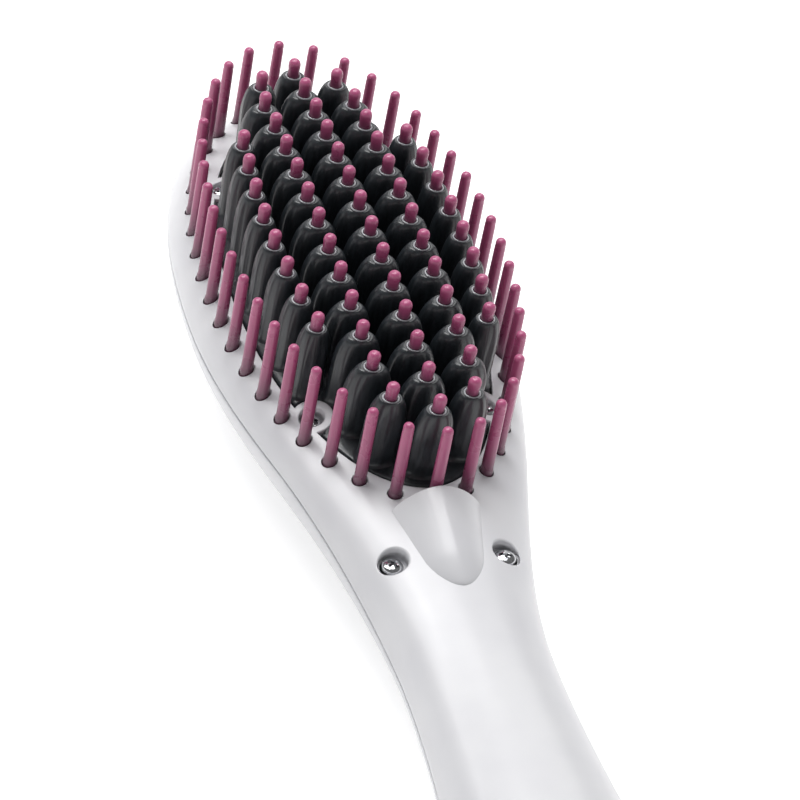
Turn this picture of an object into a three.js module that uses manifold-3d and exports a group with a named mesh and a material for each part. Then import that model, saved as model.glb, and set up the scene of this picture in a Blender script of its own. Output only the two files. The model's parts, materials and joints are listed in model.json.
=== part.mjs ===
// Hair straightening brush, in millimetres. It lies on its back with the bristles up: +Y runs to the
// tip of the head and +Z away from the table. Lengths along the body are first measured from the
// widest point of the head, and the whole brush is then moved so that the middle of its length is at Y 0.
import * as THREE from "three";
import { mergeVertices } from "three/addons/utils/BufferGeometryUtils.js";
import Module from "manifold-3d";

const wasm = await Module();
wasm.setup();

// Walls and clearances
const wall = 2.2;
const fit = 0.3; // between parts that seat on or slide in each other
const plateGap = 0.4; // round the heated plate

// Field of heated fins
const rowPitch = 7.8;
const columnPitch = 8.95;
const fieldCentre = -0.7;
const centreFins = 14;
const sideFins = 13;
const outerFins = 8;
const outerStep = 9.15; // side column to the outer one
const outerColumn = columnPitch + outerStep;
const outerSag = 2; // how far the ends of an outer column lie inside its middle
const sideDrawIn = 1.4; // how far the end fins of a side column lie inside it
const wideFin = 4.35; // half widths across the brush
const endFin = 3.6;
const narrowFin = 3.1;
const finThickness = 5.5;
const finRim = 1.65;
const finShoulder = 6;
const shoulderTurn = 0.3; // where the shoulder bends most, as a share of its height
const finRoot = 1.2; // how deep a fin's foot is buried in the plate
const finLean = 0.002; // how much more each fin leans outwards for every millimetre from the field's centre

// Cool tips, which stand out of the fins
const tipTop = 46.5; // highest tip above the table
const tipCrownAcross = 0.00654; // fall of the tips with the square of the distance
const tipCrownAlong = 0.00128;
const tipRadius = 1.03;
const tipHead = 1.15; // radius of the bead at a tip's end
const tipHeadLength = 2.1;
const tipHeadSpring = 0.5; // height over which a tip widens into its bead
const tipProud = 3.5;
const domeHeight = 0.65; // rounded end of a pin or tip, as shares of its radius
const domeFlat = 0.45;
const webHeight = 1.2;
const webWidth = 2.4;

// Heated plate, heaters and clamp
const plateBorder = 1.3; // plate beyond the fins, beside them and at their ends
const plateEndBorder = 0.15;
const plateHalfWidth = outerColumn + narrowFin + plateBorder;
const plateHalfLength = ((centreFins - 1) / 2) * rowPitch + finThickness / 2 + plateEndBorder;
const plateRecess = 0.3;
const plateFlange = 1.2;
const flangeThickness = 1.5;
const heaterWidth = 26;
const heaterLength = 37;
const heaterThickness = 3.4;
const insulatorThickness = 0.6;
const clampThickness = 1.2;
const clampPostX = columnPitch / 2; // between two columns of tips
const clampPostInset = 8.9; // from the plate's end
const clampPostFromCentre = plateHalfLength - clampPostInset;
const clampPostRadius = 1.9;
const clampPilot = 1.1;
const clampStrap = 2.6; // strap beyond the centre of a clamp screw, to each side
const fuseRadius = 2;
const fuseLength = 9;
const fuseX = -6;
const fuseFromCentre = 12;
const sensorRadius = 1.5;
const sensorLength = 5;
const sensorX = 2;
const sensorFromCentre = -24;

// Ring of bristle pins, round the plate
const ringFromSide = 3.7; // plate to the pins, beside it and at its ends
const ringFromEnd = 5.3;
const ringPins = 40;
const ringHalfWidth = plateHalfWidth + ringFromSide;
const ringHalfLength = plateHalfLength + ringFromEnd;
const ringCentre = 1.7;
const ringBelowTips = 1.7;
const pinFoot = 1.13;
const pinTip = 1;
const carrierDepth = 5.2; // cover face to the top of the ring that carries the pins
const carrierHeight = 1.6;
const carrierIn = 1.6; // how far the carrier reaches inwards and outwards of the pins
const carrierOut = 1.2;
const carrierSteps = 48;

// Body outline, round the ring
const rimSide = 3.9; // pins to the rim, beside them and at the tip
const rimTip = 5.9;
const headToTip = ringCentre + ringHalfLength + rimTip;
const headToGripEnd = 217;
const headHalfWidth = ringHalfWidth + rimSide;
const neckHalfWidth = 13.9;
const gripHalfWidth = 18.6;
const headFace = 29;
const neckFace = 20.9;
const gripFace = 22.4;
const headParting = 18.3;
const neckParting = 13;
const gripParting = 11.6;
const neckLift = 3;
const restCut = 0.8; // how much of the rounded back the flat rests take off
const sideRun = 94; // head to the narrowest point of the neck
const faceRun = 108; // head to the lowest point of the face
const gripRun = 76; // neck to full grip
const partingStart = 39; // widest point to where the parting line starts down
const partingRun = 50;
const endRound = 16;
const crownDrop = 5.7; // fall of the face from the widest point to the tip
const partingDrop = 3.1;
const facePower = 2.2; // how square the section is above and below the parting line
const backPower = 1.85;
const gripBackPower = 2.8;
const outlinePower = 2.1; // how square the outline is at the tip and at the grip end
const profilePower = 4;

// Cover screws in deep round recesses
const screwInset = 1.65; // inside the outer columns
const screwPastFins = 6.5; // beyond their last fins
const headScrewX = outerColumn - screwInset;
const headScrewFromCentre = ((outerFins - 1) / 2) * rowPitch + screwPastFins;
const headRecess = 2.3;
const neckScrewX = 10.4;
const neckScrewPastMouth = 10.4;
const neckRecess = 2.65;
const recessDepth = 2;
const bossWall = 1.15;
const bossFloor = 3.5;
const plateNotch = 4.3;
const coverScrewSize = { head: 1.95, headHeight: 1.35, shank: 1.3, length: 10.8 };
const clampScrewSize = { head: 1.6, headHeight: 1.2, shank: 0.8, length: 5 };
const boardScrewSize = { head: 1.9, headHeight: 1.4, shank: 1, length: 3.5 };
const screwSeat = 0.05; // hair gap under a screw's head
const crossReach = 0.55; // cross recess as shares of the head
const crossWidth = 0.14;
const crossDepth = 0.45;
const crownFrom = 0.55;
const crownRadius = 0.72;

// Ion outlet
const hoodFromPins = 1.7;
const hoodMouth = ringCentre - ringHalfLength - hoodFromPins;
const neckScrewY = hoodMouth - neckScrewPastMouth;
const hoodLength = 18.6;
const hoodHalfWidth = 8.25;
const hoodHeight = 4.7;
const hoodWall = 1.3;
const hoodNarrowing = 0.23; // loss of half width per millimetre from the mouth
const hoodFall = 0.19; // and of height
const hoodFoot = 6.5; // length of its rounded foot
const hoodArch = 1.8; // form of the arch across the mouth
const hoodSpring = 1.25;
const hoodEnd = 0.995; // where the hood's nose is closed, as a share of its length
const ionModuleSize = new THREE.Vector3(12, 21, 8);
const modulePastMouth = 15.1;
const ionModuleY = hoodMouth - modulePastMouth;
const ionModuleSeat = 6.6;
const needlePastMouth = 7.6;
const needleY = hoodMouth - needlePastMouth;
const needleRadius = 0.6;
const needlePoint = 2;

// Display and buttons
const displayY = -148;
const displayHalfWidth = 7.5;
const displayHalfLength = 10;
const windowFlange = 1;
const windowFlangeHeight = 1;
const lensRecess = 0.2;
const plusY = -168.5;
const minusY = -179.5;
const powerY = -192;
const smallButton = 3.8;
const powerButton = 4.4;
const buttonProud = 0.9;
const buttonTravel = 0.8;
const buttonFlange = 0.9;
const buttonFlangeHeight = 1;
const buttonStem = 1.5;
const stemGap = 0.1; // left over the switch when the button is down
const buttonEdge = 0.45; // bevel round the top
const displayFrame = 0.5; // display module inside its window
const displayNeck = 2.5;
const displayThickness = 2;

// Control board in the grip
const boardTop = 12.8;
const boardThickness = 1.6;
const boardHalfWidth = 10.8;
const boardFrom = -134;
const boardTo = -200;
const boardScrewX = 8.2;
const boardScrewY = -163.5;
const boardPostRadius = 3;
const boardPostTop = 2.4;
const transformer = { x: [-6, 3], fromEnd: [16, 28], height: 5.5 };
const relay = { x: [4.5, 8.5], fromEnd: [14, 22], height: 3.5 };
const terminals = { x: [-5, 5], fromEnd: [3, 10], height: 3 };
const largeCan = { x: -3, fromFront: 20, radius: 3.4, height: 6 };
const smallCan = { x: 5, fromFront: 19, radius: 2.6, height: 4.5 };
const solder = 0.2; // how deep a component is joined to the board
const switchSize = 6;
const switchHeight = 3.3;
const plungerHeight = 0.7;
const plungerRadius = 1.7;

// Swivel gland of the cord
const glandBore = 3.4;
const glandNeck = 4.9;
const glandFlange = 6.4;
const glandCollar = 6.2;
const glandCollarLength = 4;
const glandCollarTaper = 0.8;
const glandFlangeThickness = 2;
const bulkheadThickness = 2.4;
const bulkheadFromEnd = 5.4;

// Insulated leads
const heavyLead = 0.9;
const lightLead = 0.6;
const leadGap = 0.45; // to what it passes

// Facets of the body
const bodySides = 24;
const midStations = 13;
const tipStations = 6;
const endStations = 4;
const poleStep = 0.35; // last step before an end, as a share of a full one
const overlap = 0.1; // how deep joined forms of one piece run into each other

const { clamp } = THREE.MathUtils;
const at = (x, y, z) => new THREE.Vector3(x, y, z);

// The body: one smooth form along Y, from which both covers are cut

// 1 at s = 0 falling smoothly to 0 at s = 1
const ease = (s) => (1 + Math.cos(Math.PI * clamp(s, 0, 1))) / 2;

function along(y, head, neck, grip, run) {
  return neck + (head - neck) * ease(-y / run) + (grip - neck) * (1 - ease((-y - run) / gripRun));
}

function partingAt(y) {
  const far = Math.max(y, 0) / headToTip;
  return along(y + partingStart, headParting, neckParting, gripParting, partingRun) - partingDrop * far ** 2;
}

// Half width, parting height, rise above it, drop below it and how square it is there, for the skin or a
// surface inset from it
function bodyAt(y, inset) {
  const tip = headToTip - inset;
  const grip = headToGripEnd - inset;
  const far = clamp(y / tip, 0, 1);
  const near = clamp((endRound - grip - y) / endRound, 0, 1);
  const rounded = (power) => ((1 - far ** power) * (1 - near ** power)) ** (1 / power);
  const parting = partingAt(y);
  const crown = crownDrop * (Math.max(y, 0) / headToTip) ** 2;
  const face = along(y, headFace, neckFace, gripFace, faceRun) - crown;
  const back = along(y, -restCut, neckLift, -restCut, faceRun);
  const side = along(y, headHalfWidth, neckHalfWidth, gripHalfWidth, sideRun);
  return {
    halfWidth: (side - inset) * rounded(outlinePower),
    parting,
    rise: (face - inset - parting) * rounded(profilePower),
    drop: (parting - back - inset) * rounded(profilePower),
    backPower: along(y, backPower, backPower, gripBackPower, faceRun),
  };
}

// Height of the face over a point, or of a surface inset below it
function faceHeight(x, y, inset = 0) {
  const body = bodyAt(y, inset);
  const across = Math.min(Math.abs(x) / body.halfWidth, 1);
  return body.parting + body.rise * (1 - across ** facePower) ** (1 / facePower);
}

function bodyRing(y, inset) {
  const body = bodyAt(y, inset);
  const ring = [];
  for (let i = 0; i < bodySides; i++) {
    const angle = (2 * Math.PI * i) / bodySides;
    const power = Math.sin(angle) > 0 ? facePower : body.backPower;
    const part = (value) => Math.sign(value) * Math.abs(value) ** (2 / power);
    const height = Math.sin(angle) > 0 ? body.rise : body.drop;
    ring.push(at(body.halfWidth * part(Math.cos(angle)), y, body.parting + height * part(Math.sin(angle))));
  }
  return ring;
}

const middleOf = (ring) => ring.reduce((sum, p) => sum.add(p), at(0, 0, 0)).divideScalar(ring.length);

// A closed skin over rings of equal count, each end closed by a fan to a point
function loft(rings, start = middleOf(rings[0]), finish = middleOf(rings.at(-1))) {
  const sides = rings[0].length;
  const points = rings.flat();
  const index = [];
  for (let r = 0; r + 1 < rings.length; r++) {
    for (let i = 0; i < sides; i++) {
      const a = r * sides + i;
      const b = r * sides + ((i + 1) % sides);
      index.push(a, b, b + sides, a, b + sides, a + sides);
    }
  }
  const first = points.push(start) - 1;
  const last = points.push(finish) - 1;
  const end = (rings.length - 1) * sides;
  for (let i = 0; i < sides; i++) {
    const j = (i + 1) % sides;
    index.push(first, j, i, last, end + i, end + j);
  }
  return new THREE.BufferGeometry().setFromPoints(points).setIndex(index);
}

// A geometry as a solid, and a solid as a geometry
function solid(geometry) {
  const bare = geometry.clone();
  bare.deleteAttribute("normal");
  bare.deleteAttribute("uv");
  const merged = mergeVertices(bare, 1e-4);
  return new wasm.Manifold(
    new wasm.Mesh({
      numProp: 3,
      vertProperties: new Float32Array(merged.attributes.position.array),
      triVerts: new Uint32Array(merged.index.array),
    }),
  );
}

function geometryOf(body) {
  const mesh = body.getMesh();
  const geometry = new THREE.BufferGeometry();
  geometry.setAttribute("position", new THREE.BufferAttribute(mesh.vertProperties, 3));
  geometry.setIndex(new THREE.BufferAttribute(mesh.triVerts, 1));
  geometry.computeVertexNormals();
  return geometry;
}

const union = (bodies) => wasm.Manifold.union(bodies);

// The whole body, or the form inset from it, as one solid
function bodySolid(inset) {
  const tip = headToTip - inset;
  const grip = headToGripEnd - inset;
  const stations = [];
  for (let i = 0; i < tipStations; i++) {
    stations.push(tip * Math.cos((Math.PI / 2) * ((i + poleStep) / (tipStations + poleStep))));
  }
  for (let i = 0; i <= midStations; i++) {
    stations.push((endRound - grip) * (i / midStations));
  }
  for (let i = 1; i <= endStations; i++) {
    stations.push(endRound - grip - endRound * Math.sin((Math.PI / 2) * (i / (endStations + poleStep))));
  }
  const rings = stations.map((y) => bodyRing(y, inset));
  return solid(loft(rings, at(0, tip, partingAt(tip)), at(0, -grip, partingAt(-grip))));
}

// Upright prism of an outline, and a block between two corners
function prism(shape, bottom, top, curveSegments = 12) {
  const options = { depth: top - bottom, bevelEnabled: false, curveSegments };
  const geometry = new THREE.ExtrudeGeometry(shape, options);
  return solid(geometry.translate(0, 0, bottom));
}

function block(from, to) {
  const size = to.clone().sub(from);
  const middle = from.clone().add(to).divideScalar(2);
  return solid(new THREE.BoxGeometry(size.x, size.y, size.z).translate(middle.x, middle.y, middle.z));
}

// Upright round post, straight or tapered
function post(x, y, bottom, top, radius, topRadius = radius, sides = 12) {
  const geometry = new THREE.CylinderGeometry(topRadius, radius, top - bottom, sides);
  return solid(geometry.rotateX(Math.PI / 2).translate(x, y, (bottom + top) / 2));
}

// Upright pin through levels of height, half width and half length. A leaning one keeps its top over (x, y).
function pin(x, y, sides, levels, lean = 0) {
  const top = levels.at(-1)[0];
  const rings = levels.map(([z, across, through = across]) => {
    const ring = [];
    for (let i = 0; i < sides; i++) {
      const angle = (2 * Math.PI * i) / sides;
      ring.push(at(x + across * Math.cos(angle), y + (top - z) * lean + through * Math.sin(angle), z));
    }
    return ring;
  });
  return solid(loft(rings));
}

// Everything above or below the parting line, less half the gap between the covers
function partingHalf(side) {
  const reach = headHalfWidth + wall;
  const far = headToTip + wall;
  const near = -headToGripEnd - wall;
  const steps = 24;
  const edge = [];
  for (let i = 0; i <= steps; i++) {
    const y = far + ((near - far) * i) / steps;
    edge.push(new THREE.Vector2(y, partingAt(y) + (side * fit) / 2));
  }
  const level = side * 2 * tipTop;
  const outline = new THREE.Shape([...edge, new THREE.Vector2(near, level), new THREE.Vector2(far, level)]);
  const geometry = new THREE.ExtrudeGeometry(outline, { depth: 2 * reach, bevelEnabled: false });
  const turn = new THREE.Matrix4().makeBasis(at(0, 1, 0), at(0, 0, 1), at(1, 0, 0));
  return solid(geometry.applyMatrix4(turn).translate(-reach, 0, 0));
}

const outer = bodySolid(0);
const inner = bodySolid(wall);

// Places that repeat

const screwPlaces = [];
for (const x of [-headScrewX, headScrewX]) {
  for (const along of [headScrewFromCentre, -headScrewFromCentre]) {
    screwPlaces.push({ x, y: fieldCentre + along, recess: headRecess });
  }
}
for (const x of [-neckScrewX, neckScrewX]) {
  screwPlaces.push({ x, y: neckScrewY, recess: neckRecess });
}
const screwHole = coverScrewSize.shank + fit;
for (const place of screwPlaces) {
  place.floor = faceHeight(place.x, place.y) - recessDepth;
  place.split = place.floor - bossFloor;
}

// Fins and tips stand in five columns
const columns = [];
function addColumn(name, count, near, far, place) {
  const fins = [];
  for (let i = 0; i < count; i++) {
    const row = (count - 1) / 2 - i;
    const end = i === 0 || i === count - 1;
    const { x, halfWidth } = place(end, (2 * row) / (count - 1));
    fins.push({ x, y: fieldCentre + row * rowPitch, halfWidth });
  }
  columns.push({ name, fins, near, far, halfLength: ((count - 1) / 2) * rowPitch });
}
addColumn("centre", centreFins, 0, 0, (end) => ({ x: 0, halfWidth: end ? endFin : wideFin }));
for (const [name, side] of [["left", -1], ["right", 1]]) {
  addColumn(name, sideFins, side * (columnPitch - sideDrawIn), side * columnPitch, (end) => ({
    x: side * (columnPitch - (end ? sideDrawIn : 0)),
    halfWidth: end ? endFin : wideFin,
  }));
  const ends = side * (outerColumn - outerSag);
  addColumn(`outer_${name}`, outerFins, ends, side * outerColumn, (end, share) => ({
    x: side * (outerColumn - outerSag * share ** 2),
    halfWidth: narrowFin,
  }));
}
const finPlaces = columns.flatMap(({ fins }) => fins);

const leanAt = (y) => finLean * (fieldCentre - y);
const tipHeight = (x, y) => tipTop - tipCrownAcross * x ** 2 - tipCrownAlong * (y - fieldCentre) ** 2;

// Pins stand at equal steps along an oval
const startAngle = Math.PI / 2;
const endAngle = startAngle + 2 * Math.PI;
const ringOval = new THREE.EllipseCurve(0, ringCentre, ringHalfWidth, ringHalfLength, startAngle, endAngle);
const ringPlaces = ringOval.getSpacedPoints(ringPins).slice(0, ringPins);

function oval(halfWidth, halfLength) {
  return new THREE.Shape().absellipse(0, fieldCentre, halfWidth, halfLength, 0, 2 * Math.PI);
}

// Oval prism with round notches where the head screws stand
function notchedOval(grow, notch, bottom, top) {
  const full = prism(oval(plateHalfWidth + grow, plateHalfLength + grow), bottom, top, 18);
  const notches = screwPlaces
    .slice(0, 4)
    .map(({ x, y }) => post(x, y, bottom - 1, top + 1, notch, notch, 16));
  return full.subtract(union(notches));
}

const buttons = [
  { name: "plus", y: plusY, radius: smallButton },
  { name: "minus", y: minusY, radius: smallButton },
  { name: "power", y: powerY, radius: powerButton },
];

const glandAxis = gripParting;
const bulkheadNear = -headToGripEnd + wall + bulkheadFromEnd - bulkheadThickness;
const bulkheadFar = bulkheadNear + bulkheadThickness;

// Round hole along Y for the gland, and the bulkhead that holds it
function glandHole(radius) {
  const length = headToGripEnd;
  const geometry = new THREE.CylinderGeometry(radius, radius, length, 14);
  return solid(geometry.translate(0, bulkheadFar - length / 2 + 1, glandAxis));
}

const bulkhead = block(
  at(-gripHalfWidth, bulkheadNear, -wall),
  at(gripHalfWidth, bulkheadFar, gripFace + wall),
).intersect(bodySolid(wall / 2));

const hoodSides = 16;
const hoodStations = 8;

// Half cone over the ion outlet, or the hollow inside it, open towards the bristles
function hoodSolid(thin, depth) {
  const rings = [];
  for (let i = 0; i <= hoodStations; i++) {
    const share = Math.min(Math.sin((Math.PI / 2) * (i / hoodStations)), hoodEnd);
    const back = share * (hoodLength - thin);
    const y = hoodMouth - back;
    const turn = Math.max(back - (hoodLength - thin - hoodFoot), 0) / hoodFoot;
    const round = Math.sqrt(1 - turn ** 2);
    const halfWidth = (hoodHalfWidth - thin - hoodNarrowing * back) * round;
    const height = (hoodHeight - thin - hoodFall * back) * round;
    const ring = [];
    for (let j = 0; j < hoodSides; j++) {
      const angle = (2 * Math.PI * j) / hoodSides;
      const x = halfWidth * Math.cos(angle);
      const arch = (1 - Math.abs(Math.cos(angle)) ** hoodArch) ** (1 / hoodSpring);
      const rise = Math.sin(angle) > 0 ? height * arch : depth * Math.sin(angle);
      ring.push(at(x, y + (i === 0 && thin > 0 ? 1 : 0), faceHeight(x, y) + rise));
    }
    rings.push(ring);
  }
  return solid(loft(rings));
}

// Front cover, with its screw recesses, the seat of the plate, the pin holes and the ion outlet

function frontCover() {
  const bosses = screwPlaces.map(({ x, y, recess, split }) =>
    post(x, y, split, tipTop, recess + bossWall, recess + bossWall),
  );
  const skin = outer.subtract(inner);
  const raised = union([skin, union(bosses).intersect(outer), bulkhead]).intersect(partingHalf(1));
  const cuts = [notchedOval(plateGap, plateNotch - plateGap, 0, tipTop), hoodSolid(hoodWall, 4 * wall)];
  for (const { x, y, recess, floor, split } of screwPlaces) {
    cuts.push(post(x, y, floor, tipTop, recess, recess));
    cuts.push(post(x, y, split - 1, floor + 1, screwHole, screwHole, 6));
  }
  for (const { x, y } of ringPlaces) {
    cuts.push(pin(x, y, 5, [[0, pinFoot + fit], [tipTop, pinFoot + fit]]));
  }
  for (const { y, radius } of buttons) {
    cuts.push(post(0, y, boardTop, tipTop, radius + fit, radius + fit, 16));
  }
  cuts.push(displayOpening(fit, boardTop, tipTop));
  cuts.push(glandHole(glandNeck + fit));
  return raised.add(hoodSolid(0, wall / 2)).subtract(union(cuts));
}

function displayOpening(grow, bottom, top) {
  return block(
    at(-displayHalfWidth - grow, displayY - displayHalfLength - grow, bottom),
    at(displayHalfWidth + grow, displayY + displayHalfLength + grow, top),
  );
}

// Rear cover, with the bosses, the stand-offs of the board, the cradle of the ion module and flat rests

const boardHole = boardScrewSize.shank + fit;

function rearCover() {
  const solids = screwPlaces.map(({ x, y, recess, split }) =>
    post(x, y, 0, split - fit, recess + bossWall, recess + bossWall),
  );
  for (const x of [-boardScrewX, boardScrewX]) {
    solids.push(post(x, boardScrewY, 0, boardTop - boardThickness - fit, boardPostRadius, boardPostTop));
  }
  const cradleHalf = ionModuleSize.x / 2;
  const reach = ionModuleSize.y / 2 - wall;
  for (const y of [ionModuleY - reach, ionModuleY + reach]) {
    solids.push(block(at(-cradleHalf, y - wall / 2, 0), at(cradleHalf, y + wall / 2, ionModuleSeat)));
  }
  const inside = union(solids).intersect(outer);
  const shell = union([outer.subtract(inner), bulkhead]).intersect(partingHalf(-1));
  const cuts = screwPlaces.map(({ x, y, floor }) =>
    post(x, y, floor - coverScrewSize.length - 1, tipTop, screwHole, screwHole, 6),
  );
  for (const x of [-boardScrewX, boardScrewX]) {
    const bottom = boardTop - boardScrewSize.length - 1;
    cuts.push(post(x, boardScrewY, bottom, boardTop, boardHole, boardHole, 8));
  }
  cuts.push(glandHole(glandNeck + fit));
  const belowTable = block(at(-headHalfWidth, -headToGripEnd, -tipTop), at(headHalfWidth, headToTip, 0));
  return shell.add(inside).subtract(union(cuts)).subtract(belowTable);
}

// Heated plate with its fins

function fin({ x, y, halfWidth }) {
  const rim = tipHeight(x, y) - tipProud;
  const foot = faceHeight(x, y) - plateRecess - finRoot;
  const level = (drop) => {
    const share = (1 - (1 - drop) ** 2) ** 0.5;
    const across = finRim + (halfWidth - finRim) * share;
    const through = finRim + (finThickness / 2 - finRim) * share;
    return [rim - drop * finShoulder, across, through];
  };
  const lean = leanAt(y);
  const levels = [[foot, halfWidth, finThickness / 2], level(1), level(shoulderTurn), level(0)];
  return pin(x, y + tipProud * lean, 6, levels, lean);
}

const clampPlaces = [];
for (const x of [-clampPostX, clampPostX]) {
  for (const along of [clampPostFromCentre, -clampPostFromCentre]) {
    clampPlaces.push({ x, y: fieldCentre + along });
  }
}

// The plate hangs under the lowest stretch of the cover round it
const coverOverFlange = oval(plateHalfWidth + plateFlange, plateHalfLength + plateFlange)
  .getSpacedPoints(36)
  .map(({ x, y }) => faceHeight(x, y, wall));
const flangeTop = Math.min(...coverOverFlange) - plateGap;
const heaterSeat = flangeTop - flangeThickness; // the plate's flat underside
const insulatorTop = heaterSeat - 2 * fit - heaterThickness;
const clampTop = insulatorTop - insulatorThickness - fit;
const clampBottom = clampTop - clampThickness;

function heaterPlate() {
  const topSkin = outer.translate([0, 0, -plateRecess]);
  const cap = notchedOval(0, plateNotch, flangeTop - overlap, tipTop).intersect(topSkin);
  const flange = notchedOval(plateFlange, plateNotch - plateGap, heaterSeat, flangeTop);
  const posts = clampPlaces.map(({ x, y }) => post(x, y, clampTop + fit, heaterSeat + 1, clampPostRadius));
  const bores = finPlaces.map(({ x, y }) => tipBody(x, y, 0, fit));
  const grooveTop = heaterSeat + fit + webHeight + fit;
  const grooves = columns.map((column) => webBar(column, fit, heaterSeat - 1, grooveTop));
  const pilots = clampPlaces.map(({ x, y }) =>
    post(x, y, 0, clampBottom + clampScrewSize.length + fit, clampPilot, clampPilot, 8),
  );
  const raised = union([cap, flange, ...posts, ...finPlaces.map(fin)]);
  return raised.subtract(union([...bores, ...grooves, ...pilots]));
}

// Cool tips: a moulded strip for each column, which lies in a groove in the plate's back under the heaters

// One tip from its foot up, or the bore that clears it
function tipBody(x, y, bottom, grow) {
  const top = tipHeight(x, y);
  const neckEnd = top - tipHeadLength;
  const levels = [
    [bottom, tipRadius + grow],
    [neckEnd, tipRadius + grow],
    [neckEnd + tipHeadSpring, tipHead + grow],
    [top - domeHeight * tipHead, tipHead + grow],
    [top, domeFlat * tipHead + grow],
  ];
  return pin(x, y, 5, levels, leanAt(y));
}

// The bar that joins a column's tips, or the groove that clears it
function webBar({ near, far, halfLength }, grow, bottom, top) {
  const half = webWidth / 2 + grow;
  return block(
    at(Math.min(near, far) - half, fieldCentre - halfLength - half, bottom),
    at(Math.max(near, far) + half, fieldCentre + halfLength + half, top),
  );
}

function tipStrip(column) {
  const bottom = heaterSeat + fit;
  const pins = column.fins.map(({ x, y }) => tipBody(x, y, bottom, 0));
  return union([webBar(column, 0, bottom, bottom + webHeight), ...pins]);
}

// Bristle pins on the ring that carries them under the front cover

function bristlePin({ x, y }) {
  const face = faceHeight(x, y);
  const top = tipHeight(x, y) - ringBelowTips;
  return pin(x, y, 5, [
    [face - carrierDepth - carrierHeight / 2, pinFoot],
    [top - domeHeight * pinTip, pinTip],
    [top, domeFlat * pinTip],
  ]);
}

function bristleRing() {
  const positions = [];
  const index = [];
  for (let i = 0; i < carrierSteps; i++) {
    const angle = (2 * Math.PI * i) / carrierSteps;
    const place = at(ringHalfWidth * Math.cos(angle), ringCentre + ringHalfLength * Math.sin(angle), 0);
    const out = at(Math.cos(angle) / ringHalfWidth, Math.sin(angle) / ringHalfLength, 0).normalize();
    const top = faceHeight(place.x, place.y) - carrierDepth;
    const corners = [
      [-carrierIn, top - carrierHeight],
      [carrierOut, top - carrierHeight],
      [carrierOut, top],
      [-carrierIn, top],
    ];
    for (const [reach, z] of corners) {
      const corner = place.clone().addScaledVector(out, reach);
      positions.push(corner.x, corner.y, z);
    }
    const next = ((i + 1) % carrierSteps) * 4;
    for (let j = 0; j < 4; j++) {
      const k = (j + 1) % 4;
      index.push(i * 4 + j, next + j, next + k, i * 4 + j, next + k, i * 4 + k);
    }
  }
  const band = new THREE.BufferGeometry().setIndex(index);
  band.setAttribute("position", new THREE.Float32BufferAttribute(positions, 3));
  const bosses = screwPlaces.map(({ x, y, recess }) =>
    post(x, y, 0, tipTop, recess + bossWall + fit, recess + bossWall + fit, 12),
  );
  return union([solid(band).subtract(union(bosses)), ...ringPlaces.map(bristlePin)]);
}

// Screw with a cross recess, its head's seat at the origin

function screw({ head, headHeight, shank, length }) {
  const cross = head * crossReach;
  const slot = head * crossWidth;
  const deep = headHeight * (1 - crossDepth);
  const recess = block(at(-cross, -slot, deep), at(cross, slot, 2 * headHeight)).add(
    block(at(-slot, -cross, deep), at(slot, cross, 2 * headHeight)),
  );
  const levels = [[0, head], [headHeight * crownFrom, head], [headHeight, head * crownRadius]];
  return pin(0, 0, 10, levels).add(post(0, 0, -length, headHeight / 4, shank, shank, 6)).subtract(recess);
}

// Clamp that presses the insulator and the heaters on to the plate

function heaterClamp() {
  const y = fieldCentre;
  const middle = heaterLength + fit;
  const strap = clampPostFromCentre + clampStrap;
  const strapSide = clampPostX + clampStrap;
  const body = union([
    block(at(-heaterWidth / 2, y - middle, clampBottom), at(heaterWidth / 2, y + middle, clampTop)),
    block(at(-strapSide, y - strap, clampBottom), at(strapSide, y + strap, clampTop)),
  ]);
  const holes = clampPlaces.map(({ x, y: middleY }) =>
    post(x, middleY, 0, tipTop, clampPilot, clampPilot, 8),
  );
  return body.subtract(union(holes));
}

// Button cap with a flange that keeps it under the cover and a stem over its switch

function button(y, radius) {
  const face = faceHeight(0, y);
  const flangeTopZ = faceHeight(radius + buttonFlange, y, wall) - fit;
  const flangeBottomZ = flangeTopZ - buttonFlangeHeight;
  const stemBottom = boardTop + fit + switchHeight + plungerHeight + buttonTravel + stemGap;
  return union([
    post(0, y, stemBottom, flangeBottomZ + overlap, buttonStem, buttonStem, 8),
    post(0, y, flangeBottomZ, flangeTopZ, radius + buttonFlange, radius + buttonFlange, 16),
    pin(0, y, 16, [
      [flangeTopZ - overlap, radius],
      [face + buttonProud - buttonEdge, radius],
      [face + buttonProud, radius - buttonEdge],
    ]),
  ]);
}

function tactSwitch(y) {
  const base = boardTop + fit;
  const half = switchSize / 2;
  return block(at(-half, y - half, base), at(half, y + half, base + switchHeight)).add(
    post(0, y, base, base + switchHeight + plungerHeight, plungerRadius, plungerRadius, 8),
  );
}

// Lens of the display, which follows the face and hangs on a flange under the cover

const lowestOverWindow = Math.min(
  ...[-1, 1].map((end) =>
    faceHeight(displayHalfWidth + windowFlange, displayY + end * (displayHalfLength + windowFlange), wall),
  ),
);
const windowSeat = lowestOverWindow - fit - windowFlangeHeight;

function displayWindow() {
  const lens = displayOpening(0, windowSeat, tipTop).intersect(outer.translate([0, 0, -lensRecess]));
  return lens.add(displayOpening(windowFlange, windowSeat, windowSeat + windowFlangeHeight));
}

function displayModule() {
  const top = windowSeat - fit;
  const base = boardTop + fit;
  const panel = displayOpening(-displayFrame, top - displayThickness, top);
  return panel.add(displayOpening(-displayNeck, base, top - displayThickness / 2));
}

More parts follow.
